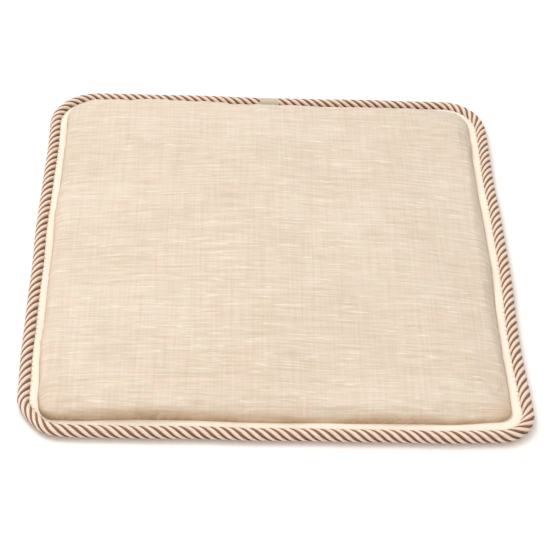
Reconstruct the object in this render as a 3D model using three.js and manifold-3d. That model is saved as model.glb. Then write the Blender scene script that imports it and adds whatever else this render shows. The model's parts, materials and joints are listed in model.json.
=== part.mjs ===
// A thin square floor cushion with a knife edge: a linen cover with a zip across its underside, a flat cream
// tape let into the seam all the way round, a thick twisted cord sewn to the tape, and an inner pad of foam
// and wadding in a calico case. Millimetres, +Z up. The origin is on the floor under the middle of the
// cushion, and +Y points to the edge that the zip is near.

import * as THREE from "three";
import { mergeVertices } from "three/addons/utils/BufferGeometryUtils.js";
import Module from "manifold-3d";

const wasm = await Module();
wasm.setup();

// ---- Driving dimensions ----

const OVERALL = 500; // across the cord, both ways
const HEIGHT = 38; // floor to the top of the crown
const GAP = 0.3; // clearance left where two pieces lie together

const CORD_DIAMETER = 12.4;
const CORD_CORE_DIAMETER = 6;
const CORD_CORNER = 36; // bend radius of the cord's centreline at a corner
const CORD_FLOOR_GAP = 0.4;
const JOIN_BAND_LENGTH = 24; // the wrapped join of the cord, in the middle of the rear edge

const TAPE_SHOWN = 8; // width of tape seen between the cord and the linen
const TAPE_ALLOWANCE = 6; // width of tape inside the seam
const TAPE_THICKNESS = 1.2; // folded double

const LINEN = 0.8;
const CALICO = 0.5;
const LAYER_GAP = 0.4;
const CASE_SEAM_RISE = 5.4; // how far the calico's underside comes up to its seam
const UNDERSIDE_ROLL = 15; // width over which the underside comes up to the seam
const CASE_SEAM_LIFT = 0.9; // how far the calico's upper side starts above the middle of the tape

const FOAM_HALF = 209.5;
const FOAM_WALL = 4; // straight part of the foam's side
const FOAM_BOTTOM = 11.1;
const FOAM_TOP = 29;

const ZIP_Y = 150; // the zip's line, from the middle of the cushion
const ZIP_PLANE = 5.8; // height of the middle of the zip's tapes
const COIL_HALF = 200; // half the length of the zip's coils
const ZIP_TAPE_HALF = 208;
const ZIP_TAPE = { width: 13, thickness: 0.6, inner: 0.7 };
const COIL = { width: 1.7, height: 1.4, inner: 0.6 };
const COIL_CUT = 0.4; // how far the coil's section is cut off at its corners
const SLIDER = { length: 9.6, halfWidth: 3.5, wall: 0.9, plate: 0.8, upperPlate: 0.7, restX: 194 };
const WEDGE = { halfWidth: 0.3, from: 2.2, to: 4.2 }; // the post that parts the coils, and where it stands
const BRIDGE = { halfLength: 3.8, leg: 1, width: 1.6, bar: 0.6 };
const PULLER = { length: 16, width: 5.2, thickness: 1, loop: 5.6, loopWidth: 3, hole: 1.1, drop: 0.45 };
const STOP = { length: 3, reach: 2.6, spine: 0.1, flange: 0.5, web: 0.35 };
const BITE = 0.1; // how far joined solids run into each other
const LINEN_AT_ZIP = [5, 34]; // distances from the zip between which the linen comes down to the floor
const CALICO_AT_ZIP = [15, 42]; // and between which the calico does
const FOLD = { open: 5, shut: 0.25, from: 6, to: 14 }; // the folds' gap, and where past the coils it closes

// ---- Heights and half widths worked out from them ----

const CORD_RADIUS = CORD_DIAMETER / 2;
const CORD_HALF = OVERALL / 2 - CORD_RADIUS;
const CORD_Z = CORD_FLOOR_GAP + CORD_RADIUS;
const SEAM_HALF = OVERALL / 2 - CORD_DIAMETER - GAP - TAPE_SHOWN;
const SEAM_CORNER = CORD_CORNER - CORD_RADIUS - TAPE_SHOWN;
const TAPE_BOTTOM = CORD_Z - TAPE_THICKNESS / 2;
const TAPE_TOP = CORD_Z + TAPE_THICKNESS / 2;
const CASE_HALF = SEAM_HALF - TAPE_ALLOWANCE - LAYER_GAP;
const CASE_CORNER = SEAM_CORNER - 3;
const WADDING_HALF = CASE_HALF - 10;
const COIL_Z = -(ZIP_TAPE.thickness / 2 + GAP + COIL.height / 2);
const SLIDER_PLATE_TOP = COIL_Z - COIL.height / 2 - GAP;
const SLIDER_PLATE_BOTTOM = SLIDER_PLATE_TOP - SLIDER.plate;
const SLIDER_UPPER = ZIP_TAPE.thickness / 2 + GAP;
const PIVOT_Z = SLIDER_PLATE_BOTTOM - PULLER.drop - PULLER.thickness / 2;
const BRIDGE_BOTTOM = PIVOT_Z - PULLER.thickness / 2 - GAP - BRIDGE.bar;

// Steps of the meshes: how far out each ring of a crown lies, and the columns of the underside's sheets.
const CROWN_FLAT = 0.15; // share of the way out over which the middle of a crown is flat
const CROWN_POWERS = [2.3, 2.2]; // how full a crown is towards its edge, and how steep at it
const CROWN_STEPS = [CROWN_FLAT, 0.4, 0.6, 0.75, 0.87, 0.94, 0.98, 0.993, 1];
const ARC_STEPS = 3;
const CORD_SIDES = 12;

// ---- Materials: colour, roughness, metalness ----

const MATERIALS = {
  linen: [0xd9c3a8, 0.95, 0],
  underside: [0xd2bb9f, 0.95, 0],
  creamTape: [0xf2e6d2, 0.9, 0],
  cord: [0xb99a84, 0.85, 0],
  cordCore: [0xefe6d6, 0.9, 0],
  calico: [0xe9e0cc, 0.95, 0],
  wadding: [0xf6f4ef, 1, 0],
  foam: [0xf0e7b8, 1, 0],
  zipTape: [0xe4d6c0, 0.9, 0],
  zipCoil: [0xe9dcc6, 0.5, 0],
  metal: [0xb8b2a6, 0.35, 0.9],
};

const object = new THREE.Group();

/** Adds a named mesh with its own material to a group. */
function place(name, geometry, material, parent = object) {
  const [color, roughness, metalness] = MATERIALS[material];
  const mesh = new THREE.Mesh(geometry, new THREE.MeshStandardMaterial({ color, roughness, metalness }));
  mesh.name = name;
  parent.add(mesh);
  return mesh;
}

// ---- Mesh helpers ----

/** A closed geometry from corner points and triangles, turned so that its faces point out. */
function closed(points, faces) {
  let volume = 0;
  for (let i = 0; i < faces.length; i += 3) {
    const [a, b, c] = [points[faces[i]], points[faces[i + 1]], points[faces[i + 2]]];
    volume += a.dot(b.clone().cross(c));
  }
  if (volume < 0) faces.reverse();
  const geometry = new THREE.BufferGeometry().setFromPoints(points);
  geometry.setIndex(faces);
  return geometry;
}

/** A closed solid through rings of equally many points, with a flat cap on the first and the last ring. */
function loft(rings) {
  const count = rings[0].length;
  const faces = [];
  for (let ring = 0; ring < rings.length - 1; ring++) {
    for (let side = 0; side < count; side++) {
      const a = ring * count + side;
      const b = ring * count + ((side + 1) % count);
      faces.push(a, b, b + count, a, b + count, a + count);
    }
  }
  const last = (rings.length - 1) * count;
  for (let side = 1; side < count - 1; side++) {
    faces.push(0, side + 1, side, last, last + side, last + side + 1);
  }
  return closed(rings.flat(), faces);
}

/** A three.js geometry as a manifold-3d solid. */
function solid(geometry) {
  const bare = geometry.clone();
  bare.deleteAttribute("normal");
  bare.deleteAttribute("uv");
  const merged = mergeVertices(bare);
  const vertProperties = new Float32Array(merged.attributes.position.array);
  const triVerts = new Uint32Array(merged.index.array);
  return new wasm.Manifold(new wasm.Mesh({ numProp: 3, vertProperties, triVerts }));
}

/** A manifold-3d solid as a three.js geometry. */
function geometryOf(manifold) {
  const { vertProperties, triVerts } = manifold.getMesh();
  const geometry = new THREE.BufferGeometry();
  geometry.setAttribute("position", new THREE.BufferAttribute(vertProperties, 3));
  geometry.setIndex(new THREE.BufferAttribute(triVerts, 1));
  return geometry;
}

/** A box between two corners. */
function block([x0, y0, z0], [x1, y1, z1]) {
  const box = new THREE.BoxGeometry(x1 - x0, y1 - y0, z1 - z0);
  return box.translate((x0 + x1) / 2, (y0 + y1) / 2, (z0 + z1) / 2);
}

/** Several overlapping geometries as one solid. */
function union(...geometries) {
  return geometryOf(geometries.map(solid).reduce((whole, part) => whole.add(part)));
}

/** A shape drawn in Y and Z, drawn out along X from x0 to x1. */
function alongX(corners, x0, x1) {
  const shape = new THREE.Shape(corners.map(([y, z]) => new THREE.Vector2(y, z)));
  const bar = new THREE.ExtrudeGeometry(shape, { depth: x1 - x0, bevelEnabled: false });
  return bar.applyMatrix4(new THREE.Matrix4().set(0, 0, 1, x0, 1, 0, 0, 0, 0, 1, 0, 0, 0, 0, 0, 1));
}

/** A rounded square as a path that starts and ends in the middle of its rear side, open by a gap there. */
function roundedSquare(half, corner, opening = 0) {
  const straight = half - corner;
  const path = new THREE.Path();
  path.moveTo(-opening / 2, half);
  path.lineTo(-straight, half);
  path.absarc(-straight, straight, corner, Math.PI / 2, Math.PI);
  path.absarc(-straight, -straight, corner, Math.PI, Math.PI * 1.5);
  path.absarc(straight, -straight, corner, -Math.PI / 2, 0);
  path.absarc(straight, straight, corner, 0, Math.PI / 2);
  path.lineTo(opening / 2, half);
  return path;
}

/** The corner points of a rounded square, each once. */
function outline(half, corner) {
  return roundedSquare(half, corner).getPoints(ARC_STEPS).slice(1, -1);
}

// ---- The crowned upper layers ----

/** Height of a stuffed surface, from 0 at its edge to 1 in the middle, at a share of the way out. */
function crown(out) {
  const slope = Math.max(out - CROWN_FLAT, 0) / (1 - CROWN_FLAT);
  return Math.pow(1 - Math.pow(slope, CROWN_POWERS[0]), 1 / CROWN_POWERS[1]);
}

/** The rings of one crowned surface, from its middle to its edge. */
function crownRings({ half, corner, base, top }) {
  return CROWN_STEPS.map((out) =>
    outline(half, corner).map((p) => new THREE.Vector3(p.x * out, p.y * out, base + (top - base) * crown(out)))
  );
}

/** A crowned layer: a shell between an outer and an inner crowned surface. */
function crownedShell(outer, inner) {
  return loft([...crownRings(outer), ...crownRings(inner).reverse()]);
}

/** The foam slab, or with a margin the space round it: flat below, a short straight side, a crowned top. */
function foamSlab(margin = 0) {
  const half = FOAM_HALF + margin;
  const edge = { half, corner: CASE_CORNER, base: FOAM_BOTTOM + FOAM_WALL + margin, top: FOAM_TOP + margin };
  const foot = outline(half, CASE_CORNER).map((p) => new THREE.Vector3(p.x, p.y, FOAM_BOTTOM - margin));
  return loft([...crownRings(edge), foot]);
}

/** The upper wadding: what a crowned dome holds above the foam's bottom and round the foam. */
function waddingBlanket(dome) {
  const below = block([-OVERALL, -OVERALL, -HEIGHT], [OVERALL, OVERALL, FOAM_BOTTOM + BITE]);
  const whole = solid(loft(crownRings(dome))).subtract(solid(below));
  return geometryOf(whole.subtract(solid(foamSlab(LAYER_GAP))));
}

function addUpperLayers() {
  const linenOut = { half: SEAM_HALF, corner: SEAM_CORNER, base: TAPE_TOP + GAP, top: HEIGHT };
  const linenIn = { ...linenOut, half: SEAM_HALF - LINEN, top: HEIGHT - LINEN };
  place("top_panel", crownedShell(linenOut, linenIn), "linen");

  const caseTop = linenIn.top - LAYER_GAP;
  const caseOut = { half: CASE_HALF, corner: CASE_CORNER, base: CORD_Z + CASE_SEAM_LIFT, top: caseTop };
  const caseIn = { ...caseOut, half: CASE_HALF - CALICO, top: caseTop - CALICO };
  place("inner_case_top", crownedShell(caseOut, caseIn), "calico");

  const dome = { ...caseIn, half: caseIn.half - LAYER_GAP, top: caseIn.top - LAYER_GAP };
  place("wadding_top", waddingBlanket(dome), "wadding");

  place("foam_core", foamSlab(), "foam");
}

// ---- The underside's layers, with a channel for the zip ----

/** How far a point is inside the edge of a rounded square. */
function inset(x, y, half, corner) {
  const [across, along] = [Math.abs(x) - half + corner, Math.abs(y) - half + corner];
  const beyond = Math.hypot(Math.max(across, 0), Math.max(along, 0));
  return corner - beyond - Math.min(Math.max(across, along), 0);
}

/** Half the width of a rounded square at a distance y from its middle. */
function halfWidthAt(y, half, corner) {
  const along = Math.max(Math.abs(y) - half + corner, 0);
  return half - corner + Math.sqrt(Math.max(corner * corner - along * along, 0));
}

/** A smooth step down from 1 at near to 0 at far. */
function fade(value, near, far) {
  return 1 - THREE.MathUtils.smoothstep(value, near, far);
}

/** Half the gap between the linen's two folded edges at the zip. The edges close up past the zip's ends. */
function foldGap(x) {
  const opening = fade(Math.abs(x), COIL_HALF + FOLD.from, COIL_HALF + FOLD.to);
  return FOLD.shut + (FOLD.open - FOLD.shut) * opening;
}

/** How much a sheet is rolled up towards a seam: 1 at the seam's outline, 0 from the roll's width inwards. */
function rollUp(x, y, half, corner) {
  return Math.max(1 - inset(x, y, half, corner) / UNDERSIDE_ROLL, 0);
}

/** Height of the linen's lower face: on the floor, up to the seam at the edge, and lifted beside the zip. */
function linenUnderside(x, y) {
  const atSeam = TAPE_BOTTOM - GAP - LINEN;
  const atZip = ZIP_PLANE - ZIP_TAPE.thickness / 2 - GAP - LINEN;
  const seam = atSeam * rollUp(x, y, SEAM_HALF, SEAM_CORNER) ** 2;
  const nearZip = fade(Math.abs(y - ZIP_Y), ...LINEN_AT_ZIP);
  return Math.max(seam, atZip * nearZip * (1 - rollUp(x, y, CASE_HALF, CASE_CORNER)));
}

/** Height of the calico's lower face, clear of the linen and of the zip. */
function calicoUnderside(x, y) {
  const floor = LINEN + LAYER_GAP;
  const roll = rollUp(x, y, CASE_HALF, CASE_CORNER);
  const atZip = ZIP_PLANE + SLIDER_UPPER + SLIDER.plate + LAYER_GAP - floor;
  const nearZip = fade(Math.abs(y - ZIP_Y), ...CALICO_AT_ZIP);
  return floor + Math.max(CASE_SEAM_RISE * roll ** 2, atZip * nearZip * (1 - roll));
}

/** The distances in from an edge at which a sheet of the underside has its lines. */
const ROLL_LINES = [0, 3, 6, 10, UNDERSIDE_ROLL];
/** The distances from the zip's line at which it has its rows. */
const ZIP_ROWS = [FOLD.open, 10, 15, 22, 34, 42];

/** The rows between two places, each an average place y and whether it is the fold at the zip. */
function rowsBetween(from, to) {
  const edges = ROLL_LINES.flatMap((line) => [line - to.half, to.half - line]);
  const besideZip = ZIP_ROWS.flatMap((row) => [ZIP_Y - row, ZIP_Y + row]);
  const all = [...edges, ...besideZip, 0].filter((y) => y >= from && y <= to.y);
  return all.sort((a, b) => a - b);
}

/** A closed sheet or pad over part of a rounded square, between a lower and an upper height. */
function sheet({ half, corner, from, to, lower, upper, move = (x, y) => y }) {
  const rows = rowsBetween(from, { half, y: to });
  const folds = [half - COIL_HALF - FOLD.to, half - COIL_HALF - FOLD.from];
  const lines = [...ROLL_LINES, ...folds].map((line) => (half - line) / half);
  const columns = [...lines, 0, ...lines.map((column) => -column)].sort((a, b) => a - b);
  const grid = (height) =>
    rows.map((row) =>
      columns.map((column) => {
        const x = column * halfWidthAt(row, half, corner);
        const y = move(x, row);
        return new THREE.Vector3(x, y, height(x, y));
      })
    );
  return skinned(grid(lower), grid(upper));
}

/** A closed solid between two grids of points, the lower and the upper. */
function skinned(lower, upper) {
  const [high, wide] = [lower.length, lower[0].length];
  const points = [...lower.flat(), ...upper.flat()];
  const index = (layer, row, column) => (layer * high + row) * wide + column;
  const faces = [];
  const quad = (a, b, c, d) => faces.push(a, b, c, a, c, d);
  for (let row = 0; row < high - 1; row++) {
    for (let column = 0; column < wide - 1; column++) {
      const corners = (layer) => [
        index(layer, row, column),
        index(layer, row, column + 1),
        index(layer, row + 1, column + 1),
        index(layer, row + 1, column),
      ];
      quad(...corners(0).reverse());
      quad(...corners(1));
    }
    for (const column of [0, wide - 1]) {
      const [here, next] = [0, 1].map((step) => [0, 1].map((layer) => index(layer, row + step, column)));
      const side = [here[0], next[0], next[1], here[1]];
      quad(...(column === 0 ? side.reverse() : side));
    }
  }
  for (let column = 0; column < wide - 1; column++) {
    for (const row of [0, high - 1]) {
      const [here, next] = [0, 1].map((step) => [0, 1].map((layer) => index(layer, row, column + step)));
      const side = [here[0], next[0], next[1], here[1]];
      quad(...(row === 0 ? side : side.reverse()));
    }
  }
  return closed(points, faces);
}

function addUnderside() {
  const linen = {
    half: SEAM_HALF,
    corner: SEAM_CORNER,
    lower: linenUnderside,
    upper: (x, y) => linenUnderside(x, y) + LINEN,
  };
  const fold = ZIP_ROWS[0];
  const front = {
    ...linen,
    from: -SEAM_HALF,
    to: ZIP_Y - fold,
    move: (x, y) => (y === ZIP_Y - fold ? ZIP_Y - foldGap(x) : y),
  };
  const rear = {
    ...linen,
    from: ZIP_Y + fold,
    to: SEAM_HALF,
    move: (x, y) => (y === ZIP_Y + fold ? ZIP_Y + foldGap(x) : y),
  };
  place("bottom_panel_front", sheet(front), "underside");
  place("bottom_panel_rear", sheet(rear), "underside");

  const calicoTop = (x, y) => calicoUnderside(x, y) + CALICO;
  const calico = { half: CASE_HALF, corner: CASE_CORNER, from: -CASE_HALF, to: CASE_HALF };
  place("inner_case_bottom", sheet({ ...calico, lower: calicoUnderside, upper: calicoTop }), "calico");

  const wadding = {
    half: WADDING_HALF,
    corner: CASE_CORNER,
    from: -WADDING_HALF,
    to: WADDING_HALF,
    lower: (x, y) => calicoTop(x, y) + 2 * LAYER_GAP,
    upper: () => FOAM_BOTTOM - GAP,
  };
  place("wadding_bottom", sheet(wadding), "wadding");
}

// ---- The edge: tape and cord ----

/** A round tube along a rounded square that is open in the middle of its rear side. */
function edgeTube(radius, opening) {
  const path = roundedSquare(CORD_HALF, CORD_CORNER, opening).getPoints(ARC_STEPS);
  const rings = path.map((p, i) => {
    const before = path[Math.max(i - 1, 0)];
    const after = path[Math.min(i + 1, path.length - 1)];
    const along = new THREE.Vector2().subVectors(after, before).normalize();
    return Array.from({ length: CORD_SIDES }, (_, side) => {
      const turn = ((side + 0.5) / CORD_SIDES) * 2 * Math.PI;
      const out = radius * Math.cos(turn);
      return new THREE.Vector3(p.x + along.y * out, p.y - along.x * out, CORD_Z + radius * Math.sin(turn));
    });
  });
  return loft(rings);
}

/** A short sleeve round the cord's core where the two ends of the cord meet. */
function joinBand() {
  const half = JOIN_BAND_LENGTH / 2;
  const inside = CORD_CORE_DIAMETER / 2 + GAP;
  const profile = [
    [inside, -half],
    [CORD_RADIUS, -half],
    [CORD_RADIUS, half],
    [inside, half],
    [inside, -half],
  ].map(([radius, along]) => new THREE.Vector2(radius, along));
  const band = new THREE.LatheGeometry(profile, CORD_SIDES * 2);
  return band.rotateZ(Math.PI / 2).translate(0, CORD_HALF, CORD_Z);
}

function addEdge() {
  const outer = OVERALL / 2 - CORD_DIAMETER - GAP;
  const inner = SEAM_HALF - TAPE_ALLOWANCE;
  const ring = new THREE.Shape(outline(outer, SEAM_CORNER + TAPE_SHOWN));
  ring.holes.push(new THREE.Path(outline(inner, SEAM_CORNER - TAPE_ALLOWANCE)));
  const tape = new THREE.ExtrudeGeometry(ring, { depth: TAPE_THICKNESS, bevelEnabled: false });
  place("edge_tape", tape.translate(0, 0, TAPE_BOTTOM), "creamTape");

  const bore = CORD_CORE_DIAMETER / 2 + GAP;
  const strands = solid(edgeTube(CORD_RADIUS, JOIN_BAND_LENGTH + 2 * GAP));
  const plies = strands.subtract(solid(edgeTube(bore, JOIN_BAND_LENGTH / 2)));
  place("edge_cord", geometryOf(plies), "cord");
  place("cord_core", edgeTube(CORD_CORE_DIAMETER / 2, 2 * GAP), "cordCore");
  place("cord_join_band", joinBand(), "creamTape");
}

// ---- The zip, drawn about the middle of its tapes' plane ----

/** The four corners of a rectangle in Y and Z. */
function rectangle(y0, z0, y1, z1) {
  return [[y0, z0], [y1, z0], [y1, z1], [y0, z1]];
}

/** An eight-sided section of a coil, drawn in Y and Z about a side of the zip. */
function coilSection(side) {
  const [halfWide, halfHigh, cut] = [COIL.width / 2, COIL.height / 2, COIL_CUT];
  const y = side * (COIL.inner + halfWide);
  return [
    [-halfWide, -halfHigh + cut],
    [-halfWide + cut, -halfHigh],
    [halfWide - cut, -halfHigh],
    [halfWide, -halfHigh + cut],
    [halfWide, halfHigh - cut],
    [halfWide - cut, halfHigh],
    [-halfWide + cut, halfHigh],
    [-halfWide, halfHigh - cut],
  ].map(([dy, dz]) => [y + dy, COIL_Z + dz]);
}

/** A metal clip that holds one tape's edge past the coil's end, as a C in Y and Z. */
function topStop(side) {
  const { spine, reach } = STOP;
  const [low, high] = [COIL_Z - COIL.height / 2, SLIDER_UPPER + STOP.flange];
  const c = [
    [spine, low],
    [reach, low],
    [reach, -SLIDER_UPPER],
    [spine + GAP, -SLIDER_UPPER],
    [spine + GAP, SLIDER_UPPER],
    [reach, SLIDER_UPPER],
    [reach, high],
    [spine, high],
  ];
  return alongX(c.map(([y, z]) => [side * y, z]), COIL_HALF + GAP, COIL_HALF + GAP + STOP.length);
}

/** The stop at the zip's other end: two flanges over and under the tapes and a web between them. */
function bottomStop() {
  const [x0, x1] = [-COIL_HALF - GAP - STOP.length, -COIL_HALF - GAP];
  const { reach, web } = STOP;
  const webTop = SLIDER_UPPER + 2 * BITE;
  return union(
    block([x0, -reach, COIL_Z - COIL.height / 2], [x1, reach, -SLIDER_UPPER]),
    block([x0, -web, -webTop], [x1, web, webTop]),
    block([x0, -reach, SLIDER_UPPER], [x1, reach, SLIDER_UPPER + STOP.flange])
  );
}

/** The slider: a plate over and one under the chain, side walls, a wedge between the coils, and a bridge. */
function slider() {
  const [half, wide, inside] = [SLIDER.length / 2, SLIDER.halfWidth, SLIDER.halfWidth - SLIDER.wall];
  const [end, inner] = [BRIDGE.halfLength, BRIDGE.halfLength - BRIDGE.leg];
  const [across, bar] = [BRIDGE.width / 2, BRIDGE_BOTTOM + BRIDGE.bar];
  const low = SLIDER_PLATE_TOP - BITE;
  const [legBottom, legTop] = [bar - BRIDGE.bar / 2, low - BITE];
  return union(
    block([-half, -wide, SLIDER_PLATE_BOTTOM], [half, wide, SLIDER_PLATE_TOP]),
    block([-half, -wide, SLIDER_UPPER], [half, wide, SLIDER_UPPER + SLIDER.upperPlate]),
    block([-half, -wide, low], [half, -inside, -SLIDER_UPPER]),
    block([-half, inside, low], [half, wide, -SLIDER_UPPER]),
    block([WEDGE.from, -WEDGE.halfWidth, low], [WEDGE.to, WEDGE.halfWidth, SLIDER_UPPER + BITE]),
    block([-end, -across, BRIDGE_BOTTOM], [end, across, bar]),
    block([-end, -across, legBottom], [-inner, across, legTop]),
    block([inner, -across, legBottom], [end, across, legTop])
  );
}

/** The puller: a flat tab with a round end, a loop that goes round the bridge, and a finger hole. */
function puller() {
  const [half, round] = [PULLER.width / 2, PULLER.width / 2];
  const tab = new THREE.Shape();
  tab.moveTo(PULLER.thickness / 2, -half);
  tab.lineTo(PULLER.thickness / 2, half);
  tab.lineTo(round - PULLER.length, half);
  tab.absarc(round - PULLER.length, 0, round, Math.PI / 2, Math.PI * 1.5);
  const loop = rectangle(-PULLER.loop, -PULLER.loopWidth / 2, -PULLER.thickness / 2, PULLER.loopWidth / 2);
  tab.holes.push(new THREE.Path(loop.map(([x, y]) => new THREE.Vector2(x, y))));
  const hole = new THREE.Path();
  hole.absarc(round - PULLER.length, 0, PULLER.hole, 0, 2 * Math.PI);
  tab.holes.push(hole);
  const depth = PULLER.thickness;
  const plate = new THREE.ExtrudeGeometry(tab, { depth, bevelEnabled: false, curveSegments: 8 });
  return plate.translate(0, 0, PIVOT_Z - PULLER.thickness / 2);
}

function addZip() {
  const zip = new THREE.Group();
  zip.position.set(0, ZIP_Y, ZIP_PLANE);
  object.add(zip);
  const tapeHalf = ZIP_TAPE.thickness / 2;
  for (const [side, name] of [[-1, "front"], [1, "rear"]]) {
    const edges = [ZIP_TAPE.inner, ZIP_TAPE.inner + ZIP_TAPE.width].map((edge) => side * edge);
    const [near, far] = [Math.min(...edges), Math.max(...edges)];
    const tape = block([-ZIP_TAPE_HALF, near, -tapeHalf], [ZIP_TAPE_HALF, far, tapeHalf]);
    place(`zip_tape_${name}`, tape, "zipTape", zip);
    place(`zip_coil_${name}`, alongX(coilSection(side), -COIL_HALF, COIL_HALF), "zipCoil", zip);
    place(`zip_stop_top_${name}`, topStop(side), "metal", zip);
  }
  place("zip_stop_bottom", bottomStop(), "metal", zip);

  const runner = new THREE.Group();
  runner.position.x = SLIDER.restX;
  zip.add(runner);
  place("zip_slider", slider(), "metal", runner);
  place("zip_puller", puller(), "metal", runner);
}

addUpperLayers();
addUnderside();
addEdge();
addZip();

export default object;
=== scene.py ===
"""A thin square floor cushion: a crowned linen cover on a foam pad, a flat cream tape round its edge, a thick
two-tone twisted cord sewn to the tape, and a zip across the underside.

Everything is in metres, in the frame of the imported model. Sizes are fields of the classes that use them, and
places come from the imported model's nodes.
"""

import enum
import json
import logging
import math
from collections.abc import Callable, Sequence
from dataclasses import dataclass, field

import bpy
import numpy as np
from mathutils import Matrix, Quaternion, Vector

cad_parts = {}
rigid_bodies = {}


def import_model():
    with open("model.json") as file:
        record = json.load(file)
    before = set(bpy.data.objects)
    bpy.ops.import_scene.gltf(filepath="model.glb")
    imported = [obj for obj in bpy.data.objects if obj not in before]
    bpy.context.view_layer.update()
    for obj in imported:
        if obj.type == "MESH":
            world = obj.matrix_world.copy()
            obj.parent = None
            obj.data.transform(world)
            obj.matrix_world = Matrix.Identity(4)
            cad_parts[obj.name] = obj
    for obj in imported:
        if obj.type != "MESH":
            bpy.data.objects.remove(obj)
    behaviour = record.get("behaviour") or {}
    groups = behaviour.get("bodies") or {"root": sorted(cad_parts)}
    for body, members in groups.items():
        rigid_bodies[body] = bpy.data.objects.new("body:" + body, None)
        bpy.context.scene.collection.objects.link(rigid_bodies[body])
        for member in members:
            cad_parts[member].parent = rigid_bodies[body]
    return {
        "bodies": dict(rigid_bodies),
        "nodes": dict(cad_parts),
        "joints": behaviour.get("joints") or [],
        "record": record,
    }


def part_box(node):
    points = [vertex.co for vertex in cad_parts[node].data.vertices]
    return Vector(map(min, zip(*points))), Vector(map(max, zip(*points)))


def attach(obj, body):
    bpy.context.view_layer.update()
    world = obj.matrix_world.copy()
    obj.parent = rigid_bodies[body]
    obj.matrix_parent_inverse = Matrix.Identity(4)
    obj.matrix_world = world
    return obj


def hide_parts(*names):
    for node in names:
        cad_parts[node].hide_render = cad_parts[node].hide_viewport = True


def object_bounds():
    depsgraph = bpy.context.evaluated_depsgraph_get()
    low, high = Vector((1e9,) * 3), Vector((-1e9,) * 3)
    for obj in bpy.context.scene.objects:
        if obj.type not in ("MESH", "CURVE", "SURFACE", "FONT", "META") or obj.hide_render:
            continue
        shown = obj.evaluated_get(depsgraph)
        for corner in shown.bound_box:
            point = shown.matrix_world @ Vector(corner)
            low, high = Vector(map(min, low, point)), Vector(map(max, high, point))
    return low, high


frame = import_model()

CAD_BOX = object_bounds()
COVER = "cover"
MM = 0.001

log = logging.getLogger("cushion")


# ---- Shader tools ----


class Value:
    """A shader socket that holds a number, with arithmetic that adds Math nodes."""

    def __init__(self, shader: "Shader", socket: bpy.types.NodeSocket) -> None:
        """Wraps a socket.

        Args:
            shader: The shader that the socket is in.
            socket: The output socket.
        """
        self.shader = shader
        self.socket = socket

    def _math(self, operation: str, *inputs: object) -> "Value":
        """Adds a Math node.

        Args:
            operation: The node's operation.
            inputs: Its numbers or values, in order.

        Returns:
            The node's result.
        """
        return self.shader.node("ShaderNodeMath", {"operation": operation}, dict(enumerate(inputs))).value()

    def __add__(self, other: object) -> "Value":
        """The sum."""
        return self._math("ADD", self, other)

    def __radd__(self, other: object) -> "Value":
        """The sum, from the right."""
        return self._math("ADD", other, self)

    def __sub__(self, other: object) -> "Value":
        """The difference."""
        return self._math("SUBTRACT", self, other)

    def __rsub__(self, other: object) -> "Value":
        """The difference, from the right."""
        return self._math("SUBTRACT", other, self)

    def __mul__(self, other: object) -> "Value":
        """The product."""
        return self._math("MULTIPLY", self, other)

    def __rmul__(self, other: object) -> "Value":
        """The product, from the right."""
        return self._math("MULTIPLY", other, self)

    def __truediv__(self, other: object) -> "Value":
        """The quotient."""
        return self._math("DIVIDE", self, other)

    def __pow__(self, other: object) -> "Value":
        """The power."""
        return self._math("POWER", self, other)

    def sine(self) -> "Value":
        """The sine."""
        return self._math("SINE", self)

    def floor(self) -> "Value":
        """The whole number below."""
        return self._math("FLOOR", self)

    def part(self) -> "Value":
        """The fraction above the whole number below."""
        return self._math("FRACT", self)

    def step(self, low: float, high: float) -> "Value":
        """A smooth step.

        Args:
            low: Where it starts to rise from 0.
            high: Where it reaches 1.

        Returns:
            The step, from 0 to 1.
        """
        settings = {"interpolation_type": "SMOOTHSTEP"}
        inputs = {"Value": self, "From Min": low, "From Max": high}
        return self.shader.node("ShaderNodeMapRange", settings, inputs).value()


class Node:
    """A shader node, with its outputs at hand."""

    def __init__(self, shader: "Shader", node: bpy.types.Node) -> None:
        """Wraps a node.

        Args:
            shader: The shader that the node is in.
            node: The node.
        """
        self.shader = shader
        self.made = node

    def value(self, name: str | int = 0) -> Value:
        """One of the node's outputs, as a number."""
        return Value(self.shader, self.made.outputs[name])

    def out(self, name: str | int = 0) -> bpy.types.NodeSocket:
        """One of the node's outputs, as a colour, vector or shader."""
        return self.made.outputs[name]


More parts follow.
